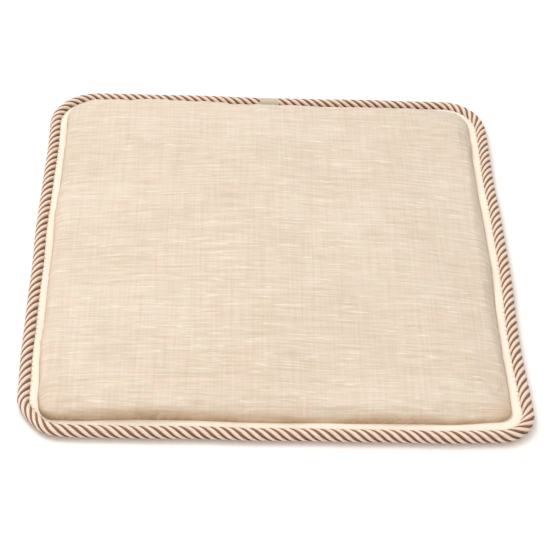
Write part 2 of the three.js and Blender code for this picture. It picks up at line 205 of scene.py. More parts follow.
class Shader:
    """A material under construction."""

    def __init__(self, name: str) -> None:
        """Makes an empty material with a principled surface.

        Args:
            name: The material's name.
        """
        self.material = bpy.data.materials.new(name)
        self.material.use_nodes = True
        self.tree = self.material.node_tree
        self.tree.nodes.clear()
        self.surface = self.node("ShaderNodeBsdfPrincipled")
        self.node("ShaderNodeOutputMaterial", inputs={"Surface": self.surface.out()})

    def node(self, kind: str, settings: dict | None = None, inputs: dict | None = None) -> Node:
        """Adds a node.

        Args:
            kind: The node's type.
            settings: Its properties, set before its inputs.
            inputs: Numbers, colours, sockets or values, by socket name or place.

        Returns:
            The node.
        """
        made = self.tree.nodes.new(kind)
        for key, setting in (settings or {}).items():
            setattr(made, key, setting)
        for key, given in (inputs or {}).items():
            self._feed(made.inputs[key], given)
        return Node(self, made)

    def _feed(self, socket: bpy.types.NodeSocket, given: object) -> None:
        """Sets or links an input.

        Args:
            socket: The input.
            given: A number, colour, socket, value or node.
        """
        if isinstance(given, Value):
            self.tree.links.new(given.socket, socket)
        elif isinstance(given, bpy.types.NodeSocket):
            self.tree.links.new(given, socket)
        elif isinstance(given, tuple) and len(given) == 3 and socket.type == "RGBA":
            socket.default_value = (*given, 1)
        else:
            socket.default_value = given

    def attribute(self, name: str) -> Value:
        """A number stored on the mesh's points.

        Args:
            name: The attribute's name.

        Returns:
            Its value.
        """
        return self.node("ShaderNodeAttribute", {"attribute_name": name}).value("Fac")

    def place(self) -> tuple[Value, Value, Value]:
        """The point's place in the object, as three numbers."""
        coordinates = self.node("ShaderNodeTexCoord").out("Object")
        split = self.node("ShaderNodeSeparateXYZ", inputs={0: coordinates})
        return split.value(0), split.value(1), split.value(2)

    def upward(self) -> Value:
        """How far the surface faces up: 1 at the top of a thing, -1 under it."""
        direction = self.node("ShaderNodeNewGeometry").out("Normal")
        return self.node("ShaderNodeSeparateXYZ", inputs={0: direction}).value(2)

    def vector(self, x: object, y: object, z: object = 0.0) -> bpy.types.NodeSocket:
        """A vector from three numbers or values."""
        return self.node("ShaderNodeCombineXYZ", inputs={0: x, 1: y, 2: z}).out()

    def noise(self, at: bpy.types.NodeSocket, scale: float, detail: float = 2, rough: float = 0.5) -> Value:
        """Noise from 0 to 1.

        Args:
            at: Where it is read.
            scale: Its scale.
            detail: Its number of octaves.
            rough: How strong the finer octaves are.

        Returns:
            The noise.
        """
        inputs = {"Vector": at, "Scale": scale, "Detail": detail, "Roughness": rough}
        return self.node("ShaderNodeTexNoise", inputs=inputs).value("Fac")

    def mix(self, share: object, first: object, second: object) -> bpy.types.NodeSocket:
        """A mix of two colours.

        Args:
            share: How much of the second, from 0 to 1.
            first: The first colour.
            second: The second colour.

        Returns:
            The mixed colour.
        """
        return self.node("ShaderNodeMix", {"data_type": "RGBA"}, {0: share, 6: first, 7: second}).out(2)

    def bump(self, height: Value, depth: float, strength: float = 1.0) -> bpy.types.NodeSocket:
        """A normal from a height.

        Args:
            height: The height, from 0 to 1.
            depth: What 1 stands for, in metres.
            strength: How much of it shows.

        Returns:
            The normal.
        """
        inputs = {"Strength": strength, "Distance": depth, "Height": height}
        return self.node("ShaderNodeBump", inputs=inputs).out()

    def finish(self, **inputs: object) -> bpy.types.Material:
        """Feeds the principled surface.

        Args:
            inputs: Its sockets, with _ for a space.

        Returns:
            The finished material.
        """
        for key, given in inputs.items():
            self._feed(self.surface.made.inputs[key.replace("_", " ")], given)
        return self.material


# ---- Finishes ----


@dataclass(frozen=True)
class Pattern:
    """Noise drawn out over two distances: its scale along each, its seed, octaves and roughness."""

    first: float
    second: float
    seed: float = 0.0
    octaves: float = 2
    rough: float = 0.5

    def over(self, shader: Shader, first_way: Value, second_way: Value) -> Value:
        """The noise at two distances.

        Args:
            shader: The material under construction.
            first_way: The first distance.
            second_way: The second distance.

        Returns:
            The noise, from 0 to 1.
        """
        at = shader.vector(first_way * self.first, second_way * self.second, self.seed)
        return shader.noise(at, 1.0, self.octaves, self.rough)


@dataclass(frozen=True)
class Patches:
    """Patches of a colour where a pattern rises from its low level to its high one."""

    pattern: Pattern
    low: float
    high: float
    strength: float
    colour: tuple

    def on(self, shader: Shader, ways: tuple[Value, Value], ground: object) -> bpy.types.NodeSocket:
        """The patches over another colour.

        Args:
            shader: The material under construction.
            ways: The two distances that the pattern is read from.
            ground: The colour under them.

        Returns:
            The mixed colour.
        """
        share = self.pattern.over(shader, *ways).step(self.low, self.high) * self.strength
        return shader.mix(share, ground, self.colour)


@dataclass(frozen=True)
class LinenFinish:
    """Plain-weave linen with slubs, read from the cloth's own lengthwise and crosswise distances."""

    name: str = "linen"
    light: tuple = (0.75, 0.675, 0.575)
    dark: tuple = (0.575, 0.46, 0.345)
    # seam: golden-brown painted shade on the shoulder next to the seam. crease: darker painted shade right
    # along the seam line.
    seam: tuple = (0.62, 0.41, 0.22)
    crease: tuple = (0.21, 0.165, 0.07)
    blush: Patches = Patches(Pattern(70, 150, 12.7, 3, 0.6), 0.45, 0.62, 0.8, (0.80, 0.645, 0.575))
    tinge: Patches = Patches(Pattern(95, 130, 31.9, 3, 0.6), 0.5, 0.66, 0.6, (0.73, 0.675, 0.48))
    slubs: Patches = Patches(Pattern(48, 430, 21.3), 0.6, 0.74, 0.6, (0.85, 0.79, 0.70))
    flecks: Patches = Patches(Pattern(160, 700, 6.6, 1), 0.80, 0.86, 0.7, (0.30, 0.205, 0.13))
    streaks: Pattern = Pattern(34, 620, 3.1, 2, 0.55)
    long_streaks: Pattern = Pattern(9, 260, 5.9)
    uprights: Pattern = Pattern(420, 14, 9.2)
    cloud: Pattern = Pattern(9, 14, 4.4, 3, 0.55)
    tone_shares: tuple = (0.34, 0.18, 0.56, 0.34, 0.26, 0.26)
    tone_range: tuple = (0.68, 1.26)
    weft_seed: float = 1.7
    warp_seed: float = 8.3
    wander: tuple = (22, 40)
    unevenness: tuple = (26, 7.31)
    gap_shade: float = 0.30
    # Scale of the noise that breaks up the painted seam shade.
    seam_shade_breakup_scale: float = 30.0
    pitch: float = 0.75 * MM
    relief: float = 0.16 * MM
    slub_strength: float = 0.55

    def threads(self, shader: Shader, along: Value, across: Value, seed: float) -> tuple[Value, Value]:
        """One set of parallel threads.

        Args:
            shader: The material under construction.
            along: Distance along the threads.
            across: Distance across them.
            seed: Tells one set from the other.

        Returns:
            How thick the thread is here, and its rounded height, both from 0 to 1.
        """
        line = across / self.pitch + Pattern(*self.wander, seed, 1).over(shader, along, across) * 0.9
        thick = Pattern(*self.unevenness, seed, 3, 0.6).over(shader, along, line.floor())
        return thick, (line.part() * math.pi).sine()

    def material(self) -> bpy.types.Material:
        """Builds the material."""
        shader = Shader(self.name)
        ways = weft_way, warp_way = shader.attribute("cloth_u"), shader.attribute("cloth_v")
        weft, weft_height = self.threads(shader, weft_way, warp_way, self.weft_seed)
        warp, warp_height = self.threads(shader, warp_way, weft_way, self.warp_seed)
        streaks = self.streaks.over(shader, *ways)
        broad = [pattern.over(shader, *ways) for pattern in (self.long_streaks, self.uprights, self.cloud)]
        toned = [value * share for value, share in zip((weft, warp, streaks, *broad), self.tone_shares)]
        shade = sum(toned[1:], toned[0]).step(*self.tone_range)
        lit = self.tinge.on(shader, ways, self.blush.on(shader, ways, self.light))
        colour = self.slubs.on(shader, ways, shader.mix(shade, lit, self.dark))
        over = ((weft_way / self.pitch).floor() + (warp_way / self.pitch).floor()) * 0.5
        weave = over.part().step(0.2, 0.3)
        height = weft_height * weave + warp_height * (1 - weave)
        colour = shader.mix((1 - height) * self.gap_shade, colour, self.dark)
        colour = self.flecks.on(shader, ways, colour)
        # Painted shade: golden brown on the shoulder next to the seam, broken up by noise, and darkest right
        # at the seam line.
        painted_seam_shade = shader.attribute("painted_seam_shade")
        seam_shade_breakup = shader.noise(shader.vector(weft_way, warp_way, 2.2), self.seam_shade_breakup_scale, 2)
        colour = shader.mix(painted_seam_shade * (seam_shade_breakup * 0.9 + 0.1), colour, self.seam)
        colour = shader.mix(painted_seam_shade ** 5 * seam_shade_breakup.step(0.35, 0.6) * 0.75, colour, self.crease)
        normal = shader.bump(height * 0.5 + streaks * 0.6 + weft * 0.5, self.relief, self.slub_strength)
        return shader.finish(
            Base_Color=colour, Roughness=0.92, Normal=normal, Sheen_Weight=0.12, Sheen_Roughness=0.5,
            Specular_IOR_Level=0.25,
        )


@dataclass(frozen=True)
class TapeFinish:
    """Cream cotton twill tape: fine slanting ribs, read from the distances along and across it."""

    name: str = "cream_tape"
    light: tuple = (0.93, 0.845, 0.735)
    dark: tuple = (0.84, 0.73, 0.60)
    rib: float = 0.9 * MM
    pick: float = 0.45 * MM
    relief: float = 0.14 * MM
    fluff: Pattern = Pattern(400, 900, 0.0, 3, 0.6)
    cloud: Pattern = Pattern(40, 90, 2.0)

    def material(self) -> bpy.types.Material:
        """Builds the material."""
        shader = Shader(self.name)
        along, across = shader.attribute("along"), shader.attribute("across")
        ribs = ((along + across) / self.rib * 2 * math.pi).sine() * 0.5 + 0.5
        picks = (along / self.pick * 2 * math.pi).sine() * 0.5 + 0.5
        fluff = self.fluff.over(shader, along, across)
        cloud = self.cloud.over(shader, along, across)
        # Darker between the ribs: painted shade in the grooves. The fluff and cloud noise are the tape's own
        # tone.
        shade = (1 - ribs) * 0.20 + fluff * 0.35 + cloud * 0.35 - 0.12
        colour = shader.mix(shade.step(0.0, 0.8), self.light, self.dark)
        normal = shader.bump(ribs * 0.6 + picks * 0.15 + fluff * 0.3, self.relief, 0.5)
        return shader.finish(Base_Color=colour, Roughness=0.9, Normal=normal, Sheen_Weight=0.1)


@dataclass(frozen=True)
class YarnFinish:
    """A ply of twisted yarns: fine lines that wind round it, with a soft sheen."""

    name: str
    light: tuple
    dark: tuple
    yarns: int = 7
    twist: float = 9 * MM
    sheen: float = 0.25
    rough: float = 0.62
    # How much painted light on upward faces and painted shade on downward faces the ply gets
    painted_facing_shade: float = 0.0
    relief: float = 0.22 * MM
    tint: Pattern = Pattern(3.7, 60)
    fibre: Pattern = Pattern(9, 500, 0.0, 2, 0.6)

    def material(self) -> bpy.types.Material:
        """Builds the material. The ply is painted paler where it faces up and darker where it faces down:
        painted light and shade.
        """
        shader = Shader(self.name)
        along, turn = shader.attribute("along"), shader.attribute("turn")
        winding = turn * self.yarns - along * (self.yarns / self.twist)
        yarn = (winding.part() * math.pi).sine()
        tint = self.tint.over(shader, winding.floor(), along)
        fibre = self.fibre.over(shader, winding, along)
        # Darker between the yarns: painted shade in the grooves. The tint and fibre noise are the yarn's own
        # tone.
        shade = (1 - yarn) * 0.62 + tint * 0.4 + fibre * 0.3 - 0.28
        # Painted light and shade: lighter where the surface faces up, darker where it faces down
        shade = shade + (shader.upward() * -self.painted_facing_shade + self.painted_facing_shade * 0.5)
        colour = shader.mix(shade.step(0.0, 0.85), self.light, self.dark)
        normal = shader.bump(yarn * 0.8 + fibre * 0.2, self.relief, 0.75)
        return shader.finish(
            Base_Color=colour, Roughness=self.rough, Normal=normal, Sheen_Weight=self.sheen,
            Specular_IOR_Level=0.4,
        )


@dataclass(frozen=True)
class FluffFinish:
    """Soft or woven stuff inside the cushion, coloured by noise in the object's own space."""

    name: str
    light: tuple
    dark: tuple
    grain: float
    depth: float
    rough: float = 0.95
    woven: bool = False
    thread: float = 0.5 * MM

    def material(self) -> bpy.types.Material:
        """Builds the material."""
        shader = Shader(self.name)
        x, y, z = shader.place()
        cells = shader.noise(shader.vector(x, y, z), self.grain, 4, 0.6)
        cloud = shader.noise(shader.vector(x, y, z), self.grain * 0.03, 2)
        relief = cells
        if self.woven:
            threads = ((x / self.thread).sine() + (y / self.thread).sine()) * 0.25 + 0.5
            relief = threads * 0.6 + cells * 0.4
        shade = (relief * 0.7 + cloud * 0.5).step(0.3, 0.95)
        colour = shader.mix(shade, self.dark, self.light)
        normal = shader.bump(relief, self.depth, 0.7)
        return shader.finish(Base_Color=colour, Roughness=self.rough, Normal=normal)


@dataclass(frozen=True)
class MetalFinish:
    """Satin nickel plate with faint rubbing."""

    name: str = "zip_metal"
    light: tuple = (0.66, 0.63, 0.58)
    dark: tuple = (0.46, 0.43, 0.39)
    relief: float = 0.02 * MM

    def material(self) -> bpy.types.Material:
        """Builds the material."""
        shader = Shader(self.name)
        x, y, z = shader.place()
        rub = shader.noise(shader.vector(x * 900, y * 300, z * 900), 1.0, 3, 0.6)
        blotch = shader.noise(shader.vector(x, y, z), 160.0, 2)
        colour = shader.mix(blotch.step(0.3, 0.7), self.light, self.dark)
        normal = shader.bump(rub, self.relief, 0.5)
        return shader.finish(Base_Color=colour, Roughness=rub * 0.25 + 0.22, Metallic=1.0, Normal=normal)


@dataclass(frozen=True)
class CoilFinish:
    """Beige nylon monofilament."""

    name: str = "zip_coil"
    light: tuple = (0.80, 0.70, 0.55)
    dark: tuple = (0.66, 0.55, 0.41)

    def material(self) -> bpy.types.Material:
        """Builds the material."""
        shader = Shader(self.name)
        x, y, z = shader.place()
        cloud = shader.noise(shader.vector(x, y, z), 240.0, 2)
        colour = shader.mix(cloud.step(0.3, 0.7), self.light, self.dark)
        return shader.finish(Base_Color=colour, Roughness=cloud * 0.2 + 0.3, Specular_IOR_Level=0.5)


@dataclass(frozen=True)
class FloorFinish:
    """A plain pale floor."""

    name: str = "floor"
    colour: tuple = (0.93, 0.895, 0.88)

    def material(self) -> bpy.types.Material:
        """Builds the material."""
        shader = Shader(self.name)
        return shader.finish(Base_Color=self.colour, Roughness=0.8, Specular_IOR_Level=0.15)


class Wardrobe:
    """Every finish of the object, built once and handed out by name."""

    def __init__(self) -> None:
        """Lists the finishes."""
        finishes = (
            LinenFinish(),
            LinenFinish(name="linen_underside", slub_strength=0.5),
            TapeFinish(),
            TapeFinish(name="zip_tape", light=(0.78, 0.68, 0.54), dark=(0.62, 0.51, 0.38), rib=0.8 * MM),
            YarnFinish("cord_cream", (0.92, 0.745, 0.615), (0.56, 0.34, 0.23), painted_facing_shade=0.1),
            YarnFinish(
                "cord_brown", (0.22, 0.122, 0.076), (0.02, 0.008, 0.004), 5, 7 * MM, sheen=0.06, painted_facing_shade=1.0
            ),
            YarnFinish("cord_filler", (0.88, 0.80, 0.68), (0.7, 0.6, 0.46)),
            YarnFinish("sewing_thread", (0.83, 0.74, 0.60), (0.6, 0.5, 0.37), yarns=3, twist=1.2 * MM),
            FluffFinish("calico", (0.84, 0.77, 0.62), (0.68, 0.6, 0.45), 900.0, 0.12 * MM, woven=True),
            FluffFinish("wadding", (0.95, 0.94, 0.91), (0.84, 0.83, 0.8), 260.0, 1.2 * MM),
            FluffFinish("foam", (0.90, 0.83, 0.50), (0.72, 0.62, 0.3), 1400.0, 0.5 * MM),
            MetalFinish(),
            CoilFinish(),
        )
        self.finishes = {finish.name: finish for finish in finishes}
        self.made: dict[str, bpy.types.Material] = {}

    def dress(self, piece: bpy.types.Object, slot: str) -> None:
        """Gives a piece a finish and names its slot.

        Args:
            piece: The piece.
            slot: The record's material slot, which is the finish's name.
        """
        if slot not in self.made:
            self.made[slot] = self.finishes[slot].material()
        piece.data.materials.clear()
        piece.data.materials.append(self.made[slot])


# ---- Mesh tools ----


def make_piece(
    name: str, points: np.ndarray, faces: Sequence, smooth: bool = True, marks: dict | None = None
) -> bpy.types.Object:
    """Makes a mesh object.

    Args:
        name: The piece's name.
        points: Its points, a row each.
        faces: Its faces, as point numbers.
        smooth: Whether it is shaded smooth.
        marks: Numbers stored on its points, by attribute name.

    Returns:
        The object, in the scene.
    """
    mesh = bpy.data.meshes.new(name)
    mesh.from_pydata(np.asarray(points, float).tolist(), [], [list(map(int, f)) for f in faces])
    for key, values in (marks or {}).items():
        attribute = mesh.attributes.new(key, "FLOAT", "POINT")
        attribute.data.foreach_set("value", np.asarray(values, np.float32).ravel())
    mesh.shade_smooth() if smooth else mesh.shade_flat()
    piece = bpy.data.objects.new(name, mesh)
    bpy.context.scene.collection.objects.link(piece)
    return piece


def grid_faces(
    high: int, wide: int, around: bool = False, closed: bool = False, start: int = 0
) -> np.ndarray:
    """Quads of a grid of points.

    Args:
        high: Its number of rows.
        wide: Its number of columns.
        around: Whether the last column joins the first.
        closed: Whether the last row joins the first.
        start: The number of its first point.

    Returns:
        Four point numbers for each face.
    """
    rows = np.arange(high if closed else high - 1)
    columns = np.arange(wide if around else wide - 1)
    row, column = (a.ravel() for a in np.meshgrid(rows, columns, indexing="ij"))
    below, beside = (row + 1) % high, (column + 1) % wide
    corners = [row * wide + column, row * wide + beside, below * wide + beside, below * wide + column]
    return np.stack(corners, 1) + start


def shell_faces(high: int, wide: int) -> np.ndarray:
    """Quads of a closed shell: one grid of points, a second grid with its faces turned over, and a wall.

    Args:
        high: The number of rows of each grid.
        wide: The number of columns of each grid.

    Returns:
        Four point numbers for each face.
    """
    size = high * wide
    number = np.arange(size).reshape(high, wide)
    rim = np.concatenate([number[0], number[1:, -1], number[-1, -2::-1], number[-2:0:-1, 0]])
    after = np.roll(rim, -1)
    wall = np.stack([rim, rim + size, after + size, after], 1)
    return np.concatenate([grid_faces(high, wide), grid_faces(high, wide, start=size)[:, ::-1], wall])


def end_caps(rings: int, sides: int) -> list[list[int]]:
    """The first and last faces of a stack of rings of points."""
    return [list(range(sides))[::-1], list(range((rings - 1) * sides, rings * sides))]


def tube(path: np.ndarray, across: np.ndarray, upward: np.ndarray, section: np.ndarray) -> tuple:
    """A tube of any section along a path, with flat ends.

    Args:
        path: The points of its middle.
        across: The section's first direction at each of them.
        upward: The section's second direction at each of them.
        section: The section's points, each a pair of distances.

    Returns:
        Its points, its faces, and the section's share of a turn at each point.
    """
    rings = path[:, None] + across[:, None] * section[None, :, :1] + upward[:, None] * section[None, :, 1:]
    count, sides = len(path), len(section)
    faces = grid_faces(count, sides, around=True).tolist() + end_caps(count, sides)
    turns = np.tile(np.arange(sides) / sides, count)
    return rings.reshape(-1, 3), faces, turns


def ellipse(wide: float, high: float, sides: int) -> np.ndarray:
    """Points of an ellipse.

    Args:
        wide: Its half width.
        high: Its half height.
        sides: How many points.

    Returns:
        Pairs of distances from its middle.
    """
    turn = np.arange(sides) / sides * 2 * math.pi
    return np.stack([np.cos(turn) * wide, np.sin(turn) * high], 1)


def joined(parts: Sequence[tuple]) -> tuple[np.ndarray, list, np.ndarray]:
    """Several meshes as one.

    Args:
        parts: Each its points, faces and a number for each point, or two.

    Returns:
        The points, faces and numbers of all of them.
    """
    points, faces, marks, start = [], [], [], 0
    for part_points, part_faces, part_marks in parts:
        points.append(part_points)
        faces += [[i + start for i in face] for face in part_faces]
        marks.append(part_marks)
        start += len(part_points)
    return np.concatenate(points), faces, np.concatenate(marks)


def strands(name: str, parts: Sequence[tuple]) -> bpy.types.Object:
    """One piece from many strands.

    Args:
        name: The piece's name.
        parts: Each its points, faces, and the turn and the distance along at each point.

    Returns:
        The piece, with the turns and distances stored on it.
    """
    points, faces, marks = joined(parts)
    return make_piece(name, points, faces, marks={"turn": marks[:, 0], "along": marks[:, 1]})


def unit(vectors: np.ndarray) -> np.ndarray:
    """Vectors at length one, row by row."""
    return vectors / np.maximum(np.linalg.norm(vectors, axis=-1, keepdims=True), 1e-12)


def ease(value: np.ndarray | float, low: float, high: float) -> np.ndarray:
    """A smooth step from 0 at low to 1 at high."""
    t = np.clip((np.asarray(value, float) - low) / (high - low), 0, 1)
    return t * t * (3 - 2 * t)


def nearest(places: np.ndarray, outline: np.ndarray) -> np.ndarray:
    """How far each place is from the nearest of an outline's points."""
    flat = places.reshape(-1, 2)
    away = np.empty(len(flat))
    for start in range(0, len(flat), 4000):
        part = flat[start : start + 4000]
        away[start : start + 4000] = np.sqrt(((part[:, None] - outline[None]) ** 2).sum(-1).min(1))
    return away.reshape(places.shape[:-1])


class Wobble:
    """Slow, repeatable unevenness of hand work: a few sine waves with seeded phases."""

    def __init__(self, seed: int, waves: Sequence[tuple[float, float]]) -> None:
        """Draws the phases.

        Args:
            seed: Which wobble this is.
            waves: Each wave's length, in metres, and its height.
        """
        random = np.random.default_rng(seed)
        self.waves = [(length, height, random.uniform(0, 2 * math.pi)) for length, height in waves]

    def __call__(self, distance: np.ndarray) -> np.ndarray:
        """The wobble at a distance along."""
        turn = 2 * math.pi * distance
        return sum(height * np.sin(turn / length + phase) for length, height, phase in self.waves)


class Ripple:
    """Slow, repeatable unevenness of a surface: plane waves with seeded headings and phases."""

    def __init__(self, seed: int, length: float, count: int = 14) -> None:
        """Draws the waves.

        Args:
            seed: Which surface this is.
            length: The usual length of a wave, in metres.
            count: How many waves.
        """
        random = np.random.default_rng(seed)
        heading = random.uniform(0, 2 * math.pi, count)
        pace = 2 * math.pi / (length * random.uniform(0.7, 1.6, count))
        self.pace = np.stack([np.cos(heading) * pace, np.sin(heading) * pace], 1)
        self.phase = random.uniform(0, 2 * math.pi, count)

    def __call__(self, x: np.ndarray, y: np.ndarray) -> np.ndarray:
        """The ripple at points of the plan, from about -1 to 1."""
        turn = x[..., None] * self.pace[:, 0] + y[..., None] * self.pace[:, 1] + self.phase
        return np.sin(turn).sum(-1) / math.sqrt(len(self.phase) * 1.5)


# ---- The cushion's plan ----


@dataclass(frozen=True)
class Line:
    """A closed line in plan, sampled at equal steps: its points, its outward directions and its distances."""

    points: np.ndarray
    out: np.ndarray
    along: np.ndarray

    def length(self) -> float:
        """The whole way round."""
        return float(self.along[-1])


class Corner(enum.Enum):
    """The cushion's corners, counterclockwise from the far left, by the signs of their places."""

    FAR_LEFT = (-1, 1)
    NEAR_LEFT = (-1, -1)
    NEAR_RIGHT = (1, -1)
    FAR_RIGHT = (1, 1)


@dataclass(frozen=True)
class Bulge:
    """A place where the edge stands out or draws in: where, how far, and over what length."""

    x: float
    y: float
    height: float
    reach: float

    def at(self, points: np.ndarray) -> np.ndarray:
        """How far the edge stands out at points."""
        away = np.hypot(points[..., 0] - self.x, points[..., 1] - self.y)
        return self.height * (1 - ease(away, 0, self.reach))


@dataclass(frozen=True)
class EdgeRoute:
    """The line that the cord's middle follows round the cushion, and lines parallel to it.

    It starts in the middle of the rear side and runs counterclockwise. Each corner has its own radius, the
    near side bows out a little, some places stand out or draw in, and slow waves stand for hand sewing.
    """

    half: float
    radii: dict = field(
        default_factory=lambda: {
            Corner.FAR_LEFT: 47 * MM,
            Corner.NEAR_LEFT: 35 * MM,
            Corner.NEAR_RIGHT: 31 * MM,
            Corner.FAR_RIGHT: 42 * MM,
        }
    )
    near_bow: float = 2.4 * MM
    bulges: tuple = (
        Bulge(-0.235, -0.235, -3.6 * MM, 32 * MM),
        Bulge(0.246, -0.235, 1.6 * MM, 34 * MM),
        Bulge(0.244, -0.125, -2.6 * MM, 75 * MM),
        Bulge(-0.244, -0.205, -1.3 * MM, 60 * MM),
    )
    spacing: float = 0.5 * MM
    waves: tuple = ((0.31, 0.5 * MM), (0.17, 0.35 * MM), (0.093, 0.2 * MM))
    near_from: float = 0.8
    corner_inset: float = 0.29

    def _square(self) -> np.ndarray:
        """The rounded square before it is bowed, as close points."""
        pieces, here = [], np.array([0.0, self.half])
        for number, (corner, radius) in enumerate(self.radii.items()):
            middle = np.array(corner.value) * (self.half - radius)
            start = math.pi / 2 * (number + 1)
            turn = np.linspace(start, start + math.pi / 2, int(radius * math.pi / 2 / self.spacing))
            arc = middle + radius * np.stack([np.cos(turn), np.sin(turn)], 1)
            pieces += [self._straight(here, arc[0]), arc]
            here = arc[-1]
        pieces.append(self._straight(here, np.array([0.0, self.half])))
        return np.concatenate([piece[:-1] for piece in pieces] + [pieces[-1][-1:]])

    def _straight(self, start: np.ndarray, end: np.ndarray) -> np.ndarray:
        """Close points from one place to another."""
        steps = max(int(np.linalg.norm(end - start) / self.spacing), 2)
        return start + (end - start) * np.linspace(0, 1, steps)[:, None]

    @staticmethod
    def _outward(points: np.ndarray) -> np.ndarray:
        """The outward directions of a closed line that runs counterclockwise."""
        ring = points[:-1]
        tangent = unit(np.roll(ring, -1, 0) - np.roll(ring, 1, 0))
        out = np.stack([tangent[:, 1], -tangent[:, 0]], 1)
        return np.concatenate([out, out[:1]])

    @staticmethod
    def _distances(points: np.ndarray) -> np.ndarray:
        """How far along a line each of its points is."""
        return np.concatenate([[0], np.cumsum(np.linalg.norm(np.diff(points, axis=0), axis=1))])

    def parallel(
        self, inset: float | Callable[[np.ndarray], np.ndarray], count: int, opening: float = 0
    ) -> Line:
        """A line at a distance inside the cord's middle.

        Args:
            inset: The distance, or a function that gives it at points of the plan.
            count: How many points it gets.
            opening: How much of it is left out in the middle of the rear side.

        Returns:
            The line. Its first and last points are the same place when nothing is left out.
        """
        points = self._square()
        out = self._outward(points)
        along = self._distances(points)
        whole = along[-1]
        near = ease(-points[:, 1], self.near_from * self.half, self.half)
        near = near * (1 - (points[:, 0] / self.half) ** 2)
        wave = Wobble(5, [(whole / round(whole / length), height) for length, height in self.waves])
        bulge = sum(one.at(points) for one in self.bulges)
        points = points + out * (near * self.near_bow + wave(along) + bulge)[:, None]
        out = self._outward(points)
        depth = inset(points) if callable(inset) else inset
        points = points - out * np.broadcast_to(depth, (len(points),))[:, None]
        along = self._distances(points)
        steps = np.linspace(opening / 2, along[-1] - opening / 2, count)
        even = [np.stack([np.interp(steps, along, a[:, i]) for i in (0, 1)], 1) for a in (points, out)]
        return Line(even[0], unit(even[1]), steps)

    def near_corner(self, points: np.ndarray, corner: Corner, reach: float) -> np.ndarray:
        """How close points are to a corner, from 0 beyond its reach to 1 at it."""
        place = np.array(corner.value) * (self.half - self.corner_inset * self.radii[corner])
        away = np.linalg.norm(points - place, axis=-1)
        return 1 - ease(away, 0, reach)


class Plan:
    """A grid over the area inside a closed line: square in the middle, and following the line at its edge."""

    def __init__(self, line: Line) -> None:
        """Finds the line's corners.

        Args:
            line: The outline, from the middle of the rear side, counterclockwise.
        """
        self.line = line
        lean = np.array([corner.value for corner in Corner])
        self.corners = [float(line.along[int(np.argmax(line.points @ way))]) for way in lean]
        self.half = float(np.median(np.abs(line.points).max(1)))

    def edge(self, side: int, share: np.ndarray) -> np.ndarray:
        """Points of the outline.

        Args:
            side: 0 left, 1 near, 2 right, 3 rear.
            share: The way along the side, counterclockwise, from 0 to 1.

        Returns:
            The points.
        """
        start = self.corners[side]
        end = self.corners[(side + 1) % 4] + (self.line.length() if side == 3 else 0)
        place = (start + (end - start) * share) % self.line.length()
        return np.stack([np.interp(place, self.line.along, self.line.points[:, i]) for i in (0, 1)], -1)

    def points(self, a: np.ndarray, b: np.ndarray) -> np.ndarray:
        """Places of grid points.

        Args:
            a: Their columns, from -1 at the left to 1 at the right.
            b: Their rows, from -1 at the near side to 1 at the rear.

        Returns:
            Their places in plan, in the grid's shape.
        """
        out = np.maximum(np.maximum(np.abs(a), np.abs(b)), 1e-9)
        edge = np.zeros(a.shape + (2,))
        upright = np.abs(a) >= np.abs(b)
        cases = (
            (0, upright & (a < 0), (1 - b / out) / 2),
            (2, upright & (a >= 0), (1 + b / out) / 2),
            (1, ~upright & (b < 0), (1 + a / out) / 2),
            (3, ~upright & (b >= 0), (1 - a / out) / 2),
        )
        for side, here, share in cases:
            edge[here] = self.edge(side, share[here])
        follow = ease(out, 0.45, 1.0)[..., None]
        square = np.stack([a, b], -1) * self.half
        return square * (1 - follow) + edge * out[..., None] * follow

    def inset(self, places: np.ndarray) -> np.ndarray:
        """How far inside the outline places are."""
        return nearest(places, self.line.points[:: max(len(self.line.points) // 700, 1)])


def spread(count: int, crowd: float = 0.45) -> np.ndarray:
    """Grid lines from -1 to 1 that crowd towards both ends.

    Args:
        count: The number of cells.
        crowd: How much they crowd, from 0 to 1.

    Returns:
        The lines.
    """
    t = np.linspace(-1, 1, count + 1)
    return t * (1 - crowd) + np.sin(t * math.pi / 2) * crowd


def cloth_distances(points: np.ndarray, axis: int) -> np.ndarray:
    """How far along the cloth each point of a grid is from the grid's middle line.

    Args:
        points: The grid's points in space.
        axis: 1 for distances along the rows, 0 along the columns.

    Returns:
        A distance for each point.
    """
    steps = np.linalg.norm(np.diff(points, axis=axis), axis=-1)
    far = np.insert(np.cumsum(steps, axis=axis), 0, 0, axis=axis)
    middle = np.take(far, [far.shape[axis] // 2], axis=axis)
    return far - middle


def cloth_shell(
    name: str,
    points: np.ndarray,
    thickness: float,
    threads: tuple | None = None,
    seam: np.ndarray | None = None,
) -> bpy.types.Object:
    """A closed sheet of cloth from a grid of points on its outer face.

    Args:
        name: The piece's name.
        points: The grid's points, with the outer face on the side where columns turn left into rows.
        thickness: The cloth's thickness.
        threads: How far along the two sets of threads each point is, if not along the grid's own lines.
        seam: How much painted shade each point gets next to the seam, from 0 to 1.

    Returns:
        The piece, with the cloth's own distances stored on it.
    """
    high, wide = points.shape[:2]
    down, right = np.gradient(points, axis=0), np.gradient(points, axis=1)
    normals = unit(np.cross(right, down))
    both = np.stack([points, points - normals * thickness])
    u, v = threads or (cloth_distances(points, 1), cloth_distances(points, 0))
    painted_seam_shade = np.zeros(high * wide) if seam is None else seam.ravel()
    marks = {key: np.stack([one, one]) for key, one in (("cloth_u", u), ("cloth_v", v), ("painted_seam_shade", painted_seam_shade))}
    return make_piece(name, both.reshape(-1, 3), shell_faces(high, wide), marks=marks)


